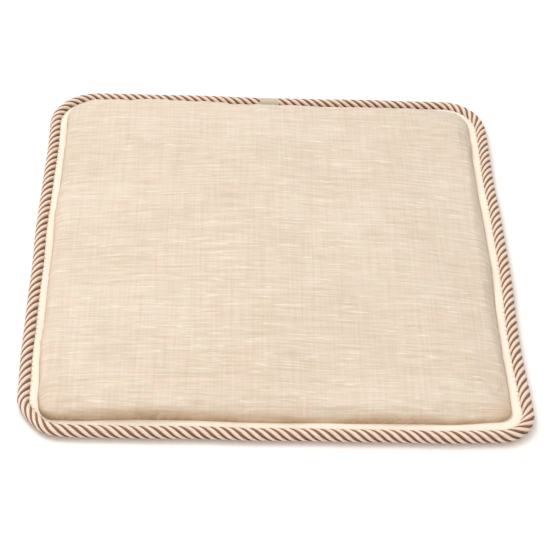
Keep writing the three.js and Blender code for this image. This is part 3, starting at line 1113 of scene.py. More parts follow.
def settle(
    points: np.ndarray, cap: float, pressure: float, frames: int = 20, slack: float = 0.0
) -> np.ndarray:
    """Lets a grid of cloth settle under the push of the filling, held at its rim, by cloth simulation.

    Args:
        points: The grid's points before.
        cap: How far a point may move.
        pressure: The push.
        frames: How many frames are simulated.
        slack: How much larger the cloth is than its shape.

    Returns:
        The grid's points after.
    """
    high, wide = points.shape[:2]
    trial = make_piece("settling_cloth", points.reshape(-1, 3), grid_faces(high, wide))
    number = np.arange(high * wide).reshape(high, wide)
    rim = np.unique(np.concatenate([number[0], number[-1], number[:, 0], number[:, -1]]))
    held = trial.vertex_groups.new(name="held")
    held.add(rim.tolist(), 1.0, "REPLACE")
    cloth = trial.modifiers.new("settle", "CLOTH")
    cloth.settings.quality = 5
    cloth.settings.mass = 0.25
    cloth.settings.tension_stiffness = 18
    cloth.settings.compression_stiffness = 12
    cloth.settings.shear_stiffness = 6
    cloth.settings.bending_stiffness = 0.6
    cloth.settings.shrink_min = -slack
    cloth.settings.use_pressure = True
    cloth.settings.uniform_pressure_force = pressure
    cloth.settings.vertex_group_mass = "held"
    cloth.settings.effector_weights.gravity = 0
    cloth.collision_settings.use_collision = False
    cloth.point_cache.frame_start, cloth.point_cache.frame_end = 1, frames
    scene = bpy.context.scene
    for each in range(1, frames + 1):
        scene.frame_set(each)
    made = trial.evaluated_get(bpy.context.evaluated_depsgraph_get())
    after = np.empty(high * wide * 3, np.float32)
    made.data.vertices.foreach_get("co", after)
    scene.frame_set(1)
    bpy.data.objects.remove(trial)
    moved = after.reshape(points.shape) - points
    length = np.linalg.norm(moved, axis=-1, keepdims=True)
    return points + moved * np.minimum(1, cap / np.maximum(length, 1e-9))


# ---- The cover ----


@dataclass
class EdgeLayout:
    """Where the cord, the tape and the seams lie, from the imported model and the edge's own sizes."""

    cord_diameter: float = 12.4 * MM
    tape_shown: float = 8 * MM
    join_opening: float = 22 * MM
    widest: tuple = (3.0 * MM, 70 * MM)
    left_slimmer: float = 0.8 * MM
    left_from: float = 0.8
    lift: tuple = (1.6 * MM, 46 * MM)
    seam_steps: int = 3600
    thin: tuple = (
        Bulge(-0.19, -0.245, 2.8 * MM, 66 * MM),
        Bulge(-0.225, -0.237, 3.4 * MM, 26 * MM),
        Bulge(-0.231, -0.231, 2.0 * MM, 18 * MM),
        Bulge(0.0, -0.25, 1.4 * MM, 150 * MM),
    )

    def __post_init__(self) -> None:
        """Reads the frame."""
        low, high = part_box("edge_cord")
        self.middle = (low.z + high.z) / 2
        self.route = EdgeRoute(half=CAD_BOX[1].x - self.cord_diameter / 2)
        tape_low, tape_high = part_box("edge_tape")
        self.tape_low, self.tape_high = tape_low.z, tape_high.z

    def seam_inset(self, points: np.ndarray) -> np.ndarray:
        """How far inside the cord's middle the linen's seam runs.

        The tape shows widest at the near right corner, and least at the near left one and along the left.
        """
        usual = self.cord_diameter / 2 + self.tape_shown
        wide = self.widest[0] * self.route.near_corner(points, Corner.NEAR_RIGHT, self.widest[1])
        thin = sum(one.at(points) for one in self.thin)
        half = self.route.half
        slim_left = self.left_slimmer * ease(-points[..., 0], self.left_from * half, half)
        return usual + wide - thin - slim_left

    def seam(self) -> Line:
        """The line of the linen's seam."""
        return self.route.parallel(self.seam_inset, self.seam_steps)

    def cord_lift(self, points: np.ndarray) -> np.ndarray:
        """How far the cord rides up over the tape at the near left corner."""
        return self.lift[0] * self.route.near_corner(points, Corner.NEAR_LEFT, self.lift[1])


@dataclass
class LinenTop:
    """The upper linen panel: a steep shoulder at the seam, a low crown over the pad, and sewn-in puckers."""

    edge: EdgeLayout
    wardrobe: Wardrobe
    cells: int = 168
    thickness: float = 0.7 * MM
    shoulder: float = 14.5 * MM
    shoulder_width: float = 8 * MM
    overhang: float = 1.7 * MM
    overhang_width: float = 5 * MM
    seam_gap: float = 0.3 * MM
    allowance: float = 6 * MM
    headroom: float = 1.5 * MM
    corner_from: float = 0.62
    left_width: float = 0.9
    right_wider: float = 0.65
    softens: tuple = (-0.11, 0.03)
    roundness: float = 2.6
    lean: float = 0.15
    crown_power: float = 2.1
    swells: tuple = ((11, 0.16, 0.75), (12, 0.07, 0.28))
    pucker: float = 0.55 * MM
    pucker_reach: float = 9 * MM
    pucker_from: float = 3 * MM
    swell_reach: tuple = (4 * MM, 40 * MM)
    crowd: float = 0.62
    settling: float = 2.4 * MM
    pressure: float = 1.6
    slack: float = 0.004
    drape: float = 0.8
    drape_reach: float = 20 * MM
    seam_shade: tuple = (-1 * MM, 5.5 * MM)
    # Reach and width of the painted shade at the rounded near right corner.
    corner_shade_reach: float = 52 * MM
    corner_shade_width: float = 30 * MM

    def __post_init__(self) -> None:
        """Works out the crown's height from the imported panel."""
        low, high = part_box("top_panel")
        self.base = low.z - self.seam_gap
        self.crown = high.z - self.base - self.shoulder - self.headroom

    def heights(self, plan: Plan, a: np.ndarray, b: np.ndarray, places: np.ndarray) -> np.ndarray:
        """Height of the panel before it settles.

        Args:
            plan: The panel's plan.
            a: The grid's columns.
            b: The grid's rows.
            places: Its places in plan.

        Returns:
            Heights above the floor.
        """
        inset = plan.inset(places)
        inset[0], inset[-1], inset[:, 0], inset[:, -1] = 0, 0, 0, 0
        corner = ease(np.abs(a * b), self.corner_from, 1.0)
        x, y = places[..., 0], places[..., 1]
        softer = self.left_width + self.right_wider * ease(x, *self.softens)
        width = self.shoulder_width * (softer + 0.2 * Ripple(3, 0.09)(x, y) + 0.5 * corner)
        rise = 1 - (1 - np.clip(inset / width, 0, 1)) ** self.roundness
        lean = 1 - self.lean * x / plan.half
        shoulder = self.shoulder * (lean - 0.2 * corner + 0.08 * Ripple(4, 0.12)(x, y)) * rise ** (1 / 1.5)
        crown = self.crown * ((1 - np.abs(a) ** self.crown_power) * (1 - np.abs(b) ** self.crown_power))
        swell = sum(Ripple(seed, length)(x, y) * height * MM for seed, length, height in self.swells)
        angle = np.arctan2(y, x)
        gather = np.sin(angle * 61 + 3 * np.sin(angle * 5)) * np.sin(angle * 23 + 1.3)
        fading = np.exp(-inset / self.pucker_reach)
        puckers = self.pucker * gather * fading * ease(inset, 0, self.pucker_from)
        return self.base + shoulder + crown + swell * ease(inset, *self.swell_reach) + puckers

    def bulging(self, plan: Plan, places: np.ndarray) -> np.ndarray:
        """How far the filled shoulder hangs out over the seam.

        Args:
            plan: The panel's plan.
            places: The grid's places in plan.

        Returns:
            A move in plan for each point.
        """
        share = np.clip(plan.inset(places) / self.overhang_width, 0, 1)
        share[0], share[-1], share[:, 0], share[:, -1] = 0, 0, 0, 0
        x, y = places[..., 0], places[..., 1]
        most = self.overhang * (1 + 0.5 * Ripple(6, 0.07)(x, y)) * 4 * share * (1 - share)
        return unit(places) * most[..., None]

    def threads(self, plan: Plan, points: np.ndarray) -> tuple[np.ndarray, np.ndarray]:
        """How far along the weft and the warp each point is: over the crown, and on down the shoulder.

        Args:
            plan: The panel's plan.
            points: Its settled points.

        Returns:
            The two distances.
        """
        inset = plan.inset(points[..., :2])
        level = self.base + self.shoulder
        drop = np.maximum(level - points[..., 2], 0) * self.drape * (1 - ease(inset, 0, self.drape_reach))
        slope = np.stack(np.gradient(inset), -1)
        outward = -unit(slope)
        return points[..., 0] + outward[..., 1] * drop, points[..., 1] + outward[..., 0] * drop

    def below(self, a: np.ndarray, b: np.ndarray, depth: float) -> np.ndarray:
        """Points under the settled panel.

        Args:
            a: Columns, from -1 at the left seam to 1 at the right.
            b: Rows, from -1 at the near seam to 1 at the rear.
            depth: How far under the panel's outer face they lie.

        Returns:
            The points.
        """
        place = [np.interp(values, self.lines, np.arange(len(self.lines))) for values in (b, a)]
        low = [np.minimum(values.astype(int), len(self.lines) - 2) for values in place]
        row, column = place[0] - low[0], place[1] - low[1]
        corners = [self.grid[low[0] + i, low[1] + j] for i in (0, 1) for j in (0, 1)]
        shares = [(1 - row) * (1 - column), (1 - row) * column, row * (1 - column), row * column]
        points = sum(corner * share[..., None] for corner, share in zip(corners, shares))
        points[..., 2] -= depth
        return points

    def build(self) -> bpy.types.Object:
        """Builds the panel.

        Returns:
            The panel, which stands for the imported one.
        """
        self.lines = spread(self.cells, self.crowd)
        b, a = np.meshgrid(self.lines, self.lines, indexing="ij")
        plan = Plan(self.edge.seam())
        places = plan.points(a, b)
        points = np.dstack([places, self.heights(plan, a, b, places)])
        points[..., :2] += self.bulging(plan, places)
        points = settle(points, self.settling, self.pressure, slack=self.slack)
        self.grid = points
        inset = plan.inset(points[..., :2])
        # Painted shade: golden brown along the shoulder next to the seam, reaching further in at the rounded
        # near right corner.
        corner_shade = self.edge.route.near_corner(points[..., :2], Corner.NEAR_RIGHT, self.corner_shade_reach)
        corner_shade = corner_shade * (1 - ease(inset, 0, self.corner_shade_width))
        seam = np.maximum(1 - ease(inset, *self.seam_shade), corner_shade)
        panel = cloth_shell("linen_top_panel", points, self.thickness, self.threads(plan, points), seam)
        self.wardrobe.dress(panel, "linen")
        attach(panel, COVER)
        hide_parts("top_panel")
        wide = 2 * (plan.half + self.allowance) + self.shoulder
        return panel


@dataclass
class EdgeTape:
    """The flat cream tape in the seam, folded double, with its row of stitches beside the cord."""

    edge: EdgeLayout
    wardrobe: Wardrobe
    allowance: float = 5 * MM
    tucked: float = 1.6 * MM
    steps: int = 1500
    cup: float = 0.5 * MM
    waves: tuple = ((23, 0.22 * MM), (61, 0.12 * MM))
    folded_edge: tuple = ((0.02, 0.7), (0.06, 1.0))
    flat_part: tuple = (0.2, 0.35, 0.5, 0.65, 0.8, 0.94)

    def _section(self) -> list[tuple[float, float]]:
        """The tape's section: shares of its width and of its thickness, all the way round."""
        upper = [*self.folded_edge, *((share, 1.0) for share in self.flat_part)]
        lower = [(share, -height) for share, height in reversed(upper)]
        return [(0.0, 0.0), *upper, (0.98, 0.7), (1.0, 0.0), (0.98, -0.7), *lower]

    def build(self) -> bpy.types.Object:
        """Builds the tape as a ring.

        Returns:
            The tape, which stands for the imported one.
        """
        line = self.edge.route.parallel(self.edge.cord_diameter / 2 - self.tucked, self.steps + 1)
        points, out, along = line.points[:-1], line.out[:-1], line.along[:-1]
        width = self.edge.seam_inset(points) - self.edge.cord_diameter / 2 + self.tucked + self.allowance
        middle = (self.edge.tape_low + self.edge.tape_high) / 2
        half = (self.edge.tape_high - self.edge.tape_low) / 2
        whole = line.length()
        wave = Wobble(21, [(whole / count, height) for count, height in self.waves])(along)
        rings, across = [], []
        for share, height in self._section():
            inset = width * share
            place = points - out * inset[:, None]
            cup = self.cup * (1 - (2 * share - 0.9) ** 2) + wave * math.sin(math.pi * min(share * 1.5, 1))
            rings.append(np.column_stack([place, middle + half * height + cup]))
            across.append(inset)
        grid = np.stack(rings, 1)
        marks = {"along": np.repeat(along[:, None], grid.shape[1], 1), "across": np.stack(across, 1)}
        faces = grid_faces(grid.shape[0], grid.shape[1], around=True, closed=True)[:, ::-1]
        tape = make_piece("edge_tape_lip", grid.reshape(-1, 3), faces, marks=marks)
        self.wardrobe.dress(tape, "cream_tape")
        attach(tape, COVER)
        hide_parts("edge_tape")
        return tape


@dataclass
class TwistedCord:
    """The edge cord: pairs of a thick cream ply and a thinner brown one, laid in a Z twist round a core."""

    edge: EdgeLayout
    wardrobe: Wardrobe
    lay: float = 38 * MM
    pairs: int = 4
    step: float = 1.35 * MM
    sides: int = 14
    cream: tuple = (1.98 * MM, 2.1 * MM)
    brown: tuple = (1.5 * MM, 1.9 * MM)
    brown_sunk: float = 0.25 * MM
    core: float = 2.3 * MM
    core_steps: int = 700
    core_sides: int = 16
    squeeze: float = 0.2
    squeeze_reach: float = 40 * MM
    uneven: tuple = ((0.21, 0.05), (0.083, 0.04))

    def _axis(self) -> tuple[np.ndarray, np.ndarray, np.ndarray]:
        """The cord's middle line, its outward directions and the distances along it."""
        whole = self.edge.route.parallel(0.0, 4000).length()
        count = int((whole - self.edge.join_opening) / self.step)
        line = self.edge.route.parallel(0.0, count, opening=self.edge.join_opening)
        middle = np.column_stack([line.points, self.edge.middle + self.edge.cord_lift(line.points)])
        out = np.column_stack([line.out, np.zeros(count)])
        return middle, out, line.along

    def _ply(self, number: float, size: tuple[float, float], sunk: float) -> tuple:
        """One ply.

        Args:
            number: Its place round the cord, in pairs.
            size: Its half width and half depth.
            sunk: How far its top lies below the cord's surface.

        Returns:
            Its points, faces, and the turn and distance at each point.
        """
        middle, out, along = self._axis()
        tangent = unit(np.gradient(middle, axis=0))
        down = np.cross(tangent, out)
        uneven = Wobble(40 + int(2 * number), self.uneven)(along)
        turn = 2 * math.pi * (along / self.lay + number / self.pairs) + uneven
        radial = out * np.cos(turn)[:, None] + down * np.sin(turn)[:, None]
        corner = self.edge.route.near_corner(middle[:, :2], Corner.NEAR_LEFT, self.squeeze_reach)
        tight = 1 - self.squeeze * corner
        radius = (self.edge.cord_diameter / 2 - size[1] - sunk) * tight
        path = middle + radial * radius[:, None]
        way = unit(np.gradient(path, axis=0))
        points, faces, turns = tube(path, np.cross(way, radial), radial, ellipse(*size, self.sides))
        marks = np.stack([turns, np.repeat(along, self.sides)], 1)
        return points, faces, marks

    def _core(self) -> bpy.types.Object:
        """The filler yarn that the plies are laid round. It runs on through the join."""
        line = self.edge.route.parallel(0.0, self.core_steps)
        middle = np.column_stack([line.points, self.edge.middle + self.edge.cord_lift(line.points)])[:-1]
        out, up = np.column_stack([line.out, np.zeros(self.core_steps)])[:-1], np.array([0, 0, 1.0])
        section = ellipse(self.core, self.core, self.core_sides)
        rings = middle[:, None] + out[:, None] * section[None, :, :1] + up * section[None, :, 1:]
        count, sides = len(middle), self.core_sides
        marks = {"turn": np.tile(np.arange(sides) / sides, count), "along": np.repeat(line.along[:-1], sides)}
        faces = grid_faces(count, sides, around=True, closed=True)[:, ::-1]
        core = make_piece("cord_filler_core", rings.reshape(-1, 3), faces, marks=marks)
        self.wardrobe.dress(core, "cord_filler")
        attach(core, COVER)
        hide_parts("cord_core")
        return core

    def build(self) -> list[bpy.types.Object]:
        """Builds the core and both colours of ply.

        Returns:
            The core, the cream plies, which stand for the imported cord, and the brown plies.
        """
        made = [self._core()]
        kinds = (
            ("cord_cream_plies", "cord_cream", self.cream, 0.0, 0.0),
            ("cord_brown_plies", "cord_brown", self.brown, self.brown_sunk, 0.5),
        )
        for name, slot, size, sunk, shift in kinds:
            plies = strands(name, [self._ply(k + shift, size, sunk) for k in range(self.pairs)])
            self.wardrobe.dress(plies, slot)
            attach(plies, COVER)
            made.append(plies)
        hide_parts("edge_cord")
        return made


@dataclass
class CordJoin:
    """The whipped thread that holds the cord's two ends together, over a short sleeve."""

    edge: EdgeLayout
    wardrobe: Wardrobe
    thread: float = 0.42 * MM
    sleeve_gap: float = 0.35 * MM
    rounding: float = 1.2 * MM
    steps_each_turn: int = 26
    sides: int = 8
    sleeve_sides: int = 40
    sleeve_places: tuple = (-1.0, -0.96, -0.9, 0.9, 0.96, 1.0)
    sleeve_girths: tuple = (0.62, 0.9, 1.0, 1.0, 0.9, 0.62)

    def _sleeve(self, middle: Vector, length: float, radius: float) -> tuple:
        """The short sleeve under the thread.

        Args:
            middle: Its middle.
            length: Half its length.
            radius: How thick it is at its middle.

        Returns:
            Its points, faces and marks.
        """
        sides, count = self.sleeve_sides, len(self.sleeve_places)
        ring = ellipse(1.0, 1.0, sides)
        places, girths = np.array(self.sleeve_places) * length, radius * np.array(self.sleeve_girths)
        rings = [
            np.column_stack([np.full(sides, place), ring * girth + [middle.y, middle.z]])
            for place, girth in zip(places, girths)
        ]
        faces = grid_faces(count, sides, around=True).tolist() + end_caps(count, sides)
        marks = np.stack([np.tile(np.arange(sides) / sides, count), np.repeat(places, sides)], 1)
        return np.concatenate(rings), faces, marks

    def build(self) -> bpy.types.Object:
        """Builds the wrap.

        Returns:
            The wrap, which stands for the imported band.
        """
        low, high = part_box("cord_join_band")
        middle = Vector((0, self.edge.route.parallel(0.0, 400).points[0][1], self.edge.middle))
        half, radius = (high.x - low.x) / 2, (high.z - low.z) / 2
        turns = int((2 * half - 2 * self.thread) / (2 * self.thread))
        turn = np.linspace(0, 2 * math.pi * turns, turns * self.steps_each_turn)
        x = np.linspace(-half + self.thread, half - self.thread, len(turn)) + middle.x
        narrow = (np.abs(x) / half) ** 10 * self.rounding
        outward = np.stack([np.zeros_like(turn), np.cos(turn), np.sin(turn)], 1)
        path = outward * (radius - self.thread - narrow)[:, None]
        path += np.stack([x, np.full_like(x, middle.y), np.full_like(x, middle.z)], 1)
        way = unit(np.gradient(path, axis=0))
        wrap = tube(path, np.cross(way, outward), outward, ellipse(self.thread, self.thread, self.sides))
        along = np.linspace(0, radius * turn[-1], len(turn))
        wrap_marks = np.stack([wrap[2], np.repeat(along, self.sides)], 1)
        sleeve = self._sleeve(middle, half - self.thread, radius - 2 * self.thread - self.sleeve_gap)
        band = strands("cord_join_whipping", [(wrap[0], wrap[1], wrap_marks), sleeve])
        self.wardrobe.dress(band, "sewing_thread")
        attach(band, COVER)
        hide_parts("cord_join_band")
        return band


def rolled(inset: np.ndarray, width: float) -> np.ndarray:
    """How much a lower layer is rolled up: 1 at its seam, 0 from the roll's width inwards."""
    return np.clip(1 - inset / width, 0, 1)


@dataclass
class Underside:
    """The two linen panels of the underside, each with a folded hem along the zip."""

    edge: EdgeLayout
    wardrobe: Wardrobe
    columns: int = 150
    front_rows: int = 110
    rear_rows: int = 46
    thickness: float = 0.6 * MM
    roll: float = 15 * MM
    fold_open: float = 4.4 * MM
    fold_shut: float = 0.25 * MM
    fold_ends: tuple = (206 * MM, 214 * MM)
    zip_reach: tuple = (5 * MM, 34 * MM)
    hem: float = 7 * MM
    hem_steps: int = 5
    fold_steps: int = 7
    closing_reach: float = 12 * MM
    layer_gap: float = 0.06 * MM
    seam_gap: float = 0.3 * MM
    allowance: float = 6 * MM
    clear_reach: tuple = (6 * MM, 22 * MM)
    crease: float = 0.35
    crease_length: float = 0.05
    halvings: int = 26
    row_power: float = 0.9

    def __post_init__(self) -> None:
        """Reads the zip's place."""
        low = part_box("zip_tape_front")[0]
        self.zip_y = (low.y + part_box("zip_tape_rear")[1].y) / 2
        self.fold_lift = low.z - 2 * self.thickness - 3 * self.layer_gap
        self.seam_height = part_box("edge_tape")[0].z - self.seam_gap

    def fold_gap(self, x: np.ndarray) -> np.ndarray:
        """Half the gap between the two folds, which close up past the zip's ends."""
        return self.fold_shut + (self.fold_open - self.fold_shut) * (1 - ease(np.abs(x), *self.fold_ends))

    def height(self, plan: Plan, places: np.ndarray) -> np.ndarray:
        """Height of the outer face: on the floor, up to the seam at the edge, and lifted beside the zip."""
        roll = rolled(plan.inset(places), self.roll)
        zip_part = 1 - ease(np.abs(places[..., 1] - self.zip_y), *self.zip_reach)
        x, y = places[..., 0], places[..., 1]
        clear = ease(plan.inset(places), *self.clear_reach)
        ripple = 0.5 + 0.5 * Ripple(31, self.crease_length)(x, y)
        crease = np.maximum(ripple * self.crease * MM * clear * (1 - zip_part), 0)
        return np.maximum(self.seam_height * roll**2, self.fold_lift * zip_part * clear) + crease

    def panel(self, name: str, side: int, rows: int) -> bpy.types.Object:
        """One panel.

        Args:
            name: Its name.
            side: -1 for the front one, 1 for the rear one.
            rows: How many rows of cells it has.

        Returns:
            The panel.
        """
        plan = Plan(self.edge.seam())
        across = spread(self.columns)
        low, high = np.full(len(across), -1.0), np.full(len(across), 1.0)
        for _ in range(self.halvings):
            middle = (low + high) / 2
            place = plan.points(across, middle)
            short = place[:, 1] < self.zip_y + side * self.fold_gap(place[:, 0])
            low, high = np.where(short, middle, low), np.where(short, high, middle)
        share = np.linspace(0, 1, rows + 1) ** self.row_power
        share = share * 0.6 + np.sin(share * math.pi / 2) * 0.4
        b = side + (low[None] - side) * share[:, None]
        a = np.broadcast_to(across, b.shape)
        places = plan.points(a, b)
        heights = self.height(plan, places)
        heights[0], heights[:, 0], heights[:, -1] = self.seam_height, self.seam_height, self.seam_height
        flat = np.dstack([places, heights])
        closing = ease(plan.inset(places[-1]), 0, self.closing_reach)
        radius = self.thickness + self.layer_gap / 2
        fold = [
            self._moved(flat[-1], -side * radius * math.sin(turn), radius * (1 - math.cos(turn)) * closing)
            for turn in np.linspace(0, math.pi, self.fold_steps + 1)[1:]
        ]
        hem = [
            self._moved(flat[-1], side * step * closing, 2 * radius * closing)
            for step in np.linspace(0, self.hem, self.hem_steps + 1)[1:]
        ]
        grid = np.concatenate([flat, np.stack(fold + hem)])
        if side < 0:
            grid = grid[:, ::-1]
        piece = cloth_shell(name, grid, self.thickness)
        self.wardrobe.dress(piece, "linen_underside")
        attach(piece, COVER)
        long = float(np.abs(places[0, :, 1].mean() - places[-1, :, 1].mean()))
        flat_size = (2 * (plan.half + self.allowance), long + self.hem + 2 * self.allowance)
        return piece

    @staticmethod
    def _moved(row: np.ndarray, y: float | np.ndarray, z: float | np.ndarray) -> np.ndarray:
        """A row of points moved in y and z."""
        count = len(row)
        return row + np.stack([np.zeros(count), np.broadcast_to(y, count), np.broadcast_to(z, count)], 1)

    def build(self) -> list[bpy.types.Object]:
        """Builds both panels.

        Returns:
            The front panel and the rear panel.
        """
        front = self.panel("linen_underside_front", -1, self.front_rows)
        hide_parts("bottom_panel_front")
        rear = self.panel("linen_underside_rear", 1, self.rear_rows)
        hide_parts("bottom_panel_rear")
        return [front, rear]


@dataclass
class InnerPad:
    """The pad inside: a calico case, wadding over and under, and a foam slab, each inside the one before."""

    top: LinenTop
    wardrobe: Wardrobe
    cells: int = 90
    case_share: float = 0.972
    gap: float = 0.4 * MM
    calico: float = 0.5 * MM
    case_roll: float = 10 * MM
    seam_rise: float = 5.4 * MM
    zip_reach: tuple = (15 * MM, 42 * MM)
    foam_bottom: float = 11.1 * MM
    foam_wall: float = 4 * MM
    foam_share: float = 0.915
    foam_depth: float = 7.4 * MM
    foam_edge: float = 14 * MM
    foam_inset: float = 12 * MM
    wadding_share: float = 0.952
    wadding_fill: float = 0.7
    foam_fill: float = 1.0
    thinnest: float = 0.8 * MM
    half_width: float = 229 * MM
    allowance: float = 10 * MM
    linen: float = 0.6 * MM
    clearance: float = 0.4 * MM
    lower_roll: float = 15 * MM

    def _grid(self, share: float) -> tuple[np.ndarray, np.ndarray, np.ndarray]:
        """A layer's columns and rows, and how far inside its rim each point is.

        Args:
            share: How far out the layer reaches, as a share of the panel above.

        Returns:
            The columns, rows and insets.
        """
        lines = spread(self.cells)
        b, a = np.meshgrid(lines * share, lines * share, indexing="ij")
        rim = self.top.below(a, b, 0.0)[..., :2]
        edge = np.concatenate([rim[0], rim[:, -1], rim[-1], rim[:, 0]])
        return a, b, nearest(rim, edge)

    def _between(self, name: str, upper: np.ndarray, lower: np.ndarray, slot: str) -> bpy.types.Object:
        """A closed piece between two grids of points.

        Args:
            name: Its name.
            upper: The points of its upper face.
            lower: The points of its lower face.
            slot: Its finish.

        Returns:
            The piece.
        """
        points = np.concatenate([upper.reshape(-1, 3), lower.reshape(-1, 3)])
        piece = make_piece(name, points, shell_faces(*upper.shape[:2]))
        self.wardrobe.dress(piece, slot)
        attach(piece, COVER)
        return piece

    @staticmethod
    def _at(points: np.ndarray, height: np.ndarray | float) -> np.ndarray:
        """Points at other heights."""
        return np.dstack([points[..., :2], np.broadcast_to(height, points.shape[:2])])

    def _case_top(self, a: np.ndarray, b: np.ndarray, inset: np.ndarray) -> np.ndarray:
        """The outer face of the calico's upper side."""
        points = self.top.below(a, b, self.top.thickness + self.gap)
        seam = self.top.base + 0.2 * MM
        rise = (1 - (1 - np.clip(inset / self.case_roll, 0, 1)) ** 2.2) ** 0.8
        return self._at(points, seam + np.maximum(points[..., 2] - seam, self.clearance) * rise)

    def _case_bottom(self, points: np.ndarray, inset: np.ndarray) -> np.ndarray:
        """Height of the calico's lower face, clear of the linen and of the zip."""
        low = self.linen + self.gap + self.clearance
        roll = rolled(inset, self.lower_roll)
        above_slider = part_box("zip_slider")[1].z + self.gap - low
        zip_y = (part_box("zip_tape_front")[0].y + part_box("zip_tape_rear")[1].y) / 2
        zip_part = 1 - ease(np.abs(points[..., 1] - zip_y), *self.zip_reach)
        return low + np.maximum(self.seam_rise * roll**2, above_slider * zip_part * (1 - roll))

    def build(self) -> list[bpy.types.Object]:
        """Builds the layers.

        Returns:
            The calico's two sides, the two layers of wadding and the foam.
        """
        a, b, inset = self._grid(self.case_share)
        outer = self._case_top(a, b, inset)
        inner = self._at(outer, outer[..., 2] - self.calico)
        case_top = self._between("calico_case_top", outer, inner, "calico")
        under = self._case_bottom(outer, inset)
        case_bottom = self._between(
            "calico_case_bottom", self._at(outer, under + self.calico), self._at(outer, under), "calico"
        )
        wide = float(np.ptp(outer[..., 0])) + 2 * self.allowance
        for piece, node, lies_on in (
            (case_top, "inner_case_top", "wadding_blanket_top"),
            (case_bottom, "inner_case_bottom", "linen_underside_front"),
        ):
            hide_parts(node)

        a, b, inset = self._grid(self.wadding_share)
        case_inset = inset + (self.case_share - self.wadding_share) * self.half_width
        blanket = self._case_top(a, b, case_inset)
        blanket[..., 2] -= self.calico + self.gap
        foam_inset = inset - (self.wadding_share - self.foam_share) * self.half_width
        foam_top = self._foam_height(blanket[..., 2], foam_inset)
        over = self.foam_bottom + 0.1 * MM
        hollow = np.where(foam_inset > -self.gap, foam_top + self.gap, over)
        hollow = np.minimum(hollow, blanket[..., 2] - self.thinnest)
        wadding_top = self._between("wadding_blanket_top", blanket, self._at(blanket, hollow), "wadding")
        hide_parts("wadding_top")

        a, b, inset = self._grid(self.foam_share)
        crown = self._case_top(a, b, inset + (self.case_share - self.foam_share) * self.half_width)
        crown[..., 2] -= self.calico + self.gap
        slab = self._at(crown, self._foam_height(crown[..., 2], inset))
        foam = self._between("foam_slab", slab, self._at(crown, self.foam_bottom), "foam")
        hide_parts("foam_core")

        lower = self._case_bottom(crown, inset + self.foam_inset) + self.calico + 2 * self.gap
        upper = np.full(lower.shape, self.foam_bottom - 0.3 * MM)
        lower = np.minimum(lower, upper - 0.3 * MM)
        wadding_bottom = self._between(
            "wadding_blanket_bottom", self._at(crown, upper), self._at(crown, lower), "wadding"
        )
        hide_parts("wadding_bottom")
        return [case_top, case_bottom, wadding_top, foam, wadding_bottom]

    def _foam_height(self, blanket: np.ndarray, inset: np.ndarray) -> np.ndarray:
        """Height of the foam's top: a straight side, then a rounded edge up to a level under the wadding."""
        shoulder = self.foam_bottom + self.foam_wall
        rise = (1 - (1 - np.clip(inset / self.foam_edge, 0, 1)) ** 2.4) ** 0.7
        return shoulder + np.maximum(blanket - self.foam_depth - shoulder, 0.5 * MM) * rise


def plate(outline: np.ndarray, low: float, high: float, bevel: float) -> tuple:
    """A flat plate with bevelled edges.

    Args:
        outline: Its corner points in plan, counterclockwise.
        low: The height of its lower face.
        high: The height of its upper face.
        bevel: The width of its bevels.

    Returns:
        Its points, faces and a zero for each point.
    """
    count = len(outline)
    tangent = unit(np.roll(outline, -1, 0) - np.roll(outline, 1, 0))
    inward = np.stack([-tangent[:, 1], tangent[:, 0]], 1)
    steps = [(bevel, 0.0), (bevel * 0.3, 0.3), (0.0, 1.0)]
    rings = [(inset, low + bevel * rise) for inset, rise in steps]
    rings += [(inset, high - bevel * rise) for inset, rise in reversed(steps)]
    points = [np.column_stack([outline + inward * inset, np.full(count, z)]) for inset, z in rings]
    faces = grid_faces(len(rings), count, around=True).tolist() + end_caps(len(rings), count)
    return np.concatenate(points), faces, np.zeros(len(rings) * count)


def pierced_plate(outline: np.ndarray, hole: np.ndarray, low: float, high: float, bevel: float) -> tuple:
    """A flat plate with one hole, with bevelled edges.

    Args:
        outline: Its corner points in plan, counterclockwise.
        hole: As many corner points of the hole, counterclockwise.
        low: The height of its lower face.
        high: The height of its upper face.
        bevel: The width of its bevels.

    Returns:
        Its points, faces and a zero for each point.
    """
    rings = []
    for edge, way in ((outline, 1), (hole, -1)):
        tangent = unit(np.roll(edge, -1, 0) - np.roll(edge, 1, 0))
        inward = np.stack([-tangent[:, 1], tangent[:, 0]], 1) * way
        levels = [(bevel, low), (0.0, low + bevel), (0.0, high - bevel), (bevel, high)]
        for inset, z in levels[::way]:
            rings.append(np.column_stack([edge + inward * inset, np.full(len(edge), z)]))
    faces = grid_faces(len(rings), len(outline), around=True, closed=True)
    return np.concatenate(rings), faces.tolist(), np.zeros(len(rings) * len(outline))


def rounded_rectangle(half_x: float, half_y: float, corner: float, steps: int = 6) -> np.ndarray:
    """Corner points of a rounded rectangle, counterclockwise from its right side."""
    arcs = []
    for number, (sx, sy) in enumerate(((1, 1), (-1, 1), (-1, -1), (1, -1))):
        turn = np.linspace(0, math.pi / 2, steps) + math.pi / 2 * number
        middle = np.array([sx * (half_x - corner), sy * (half_y - corner)])
        arcs.append(middle + corner * np.stack([np.cos(turn), np.sin(turn)], 1))
    return np.concatenate(arcs)


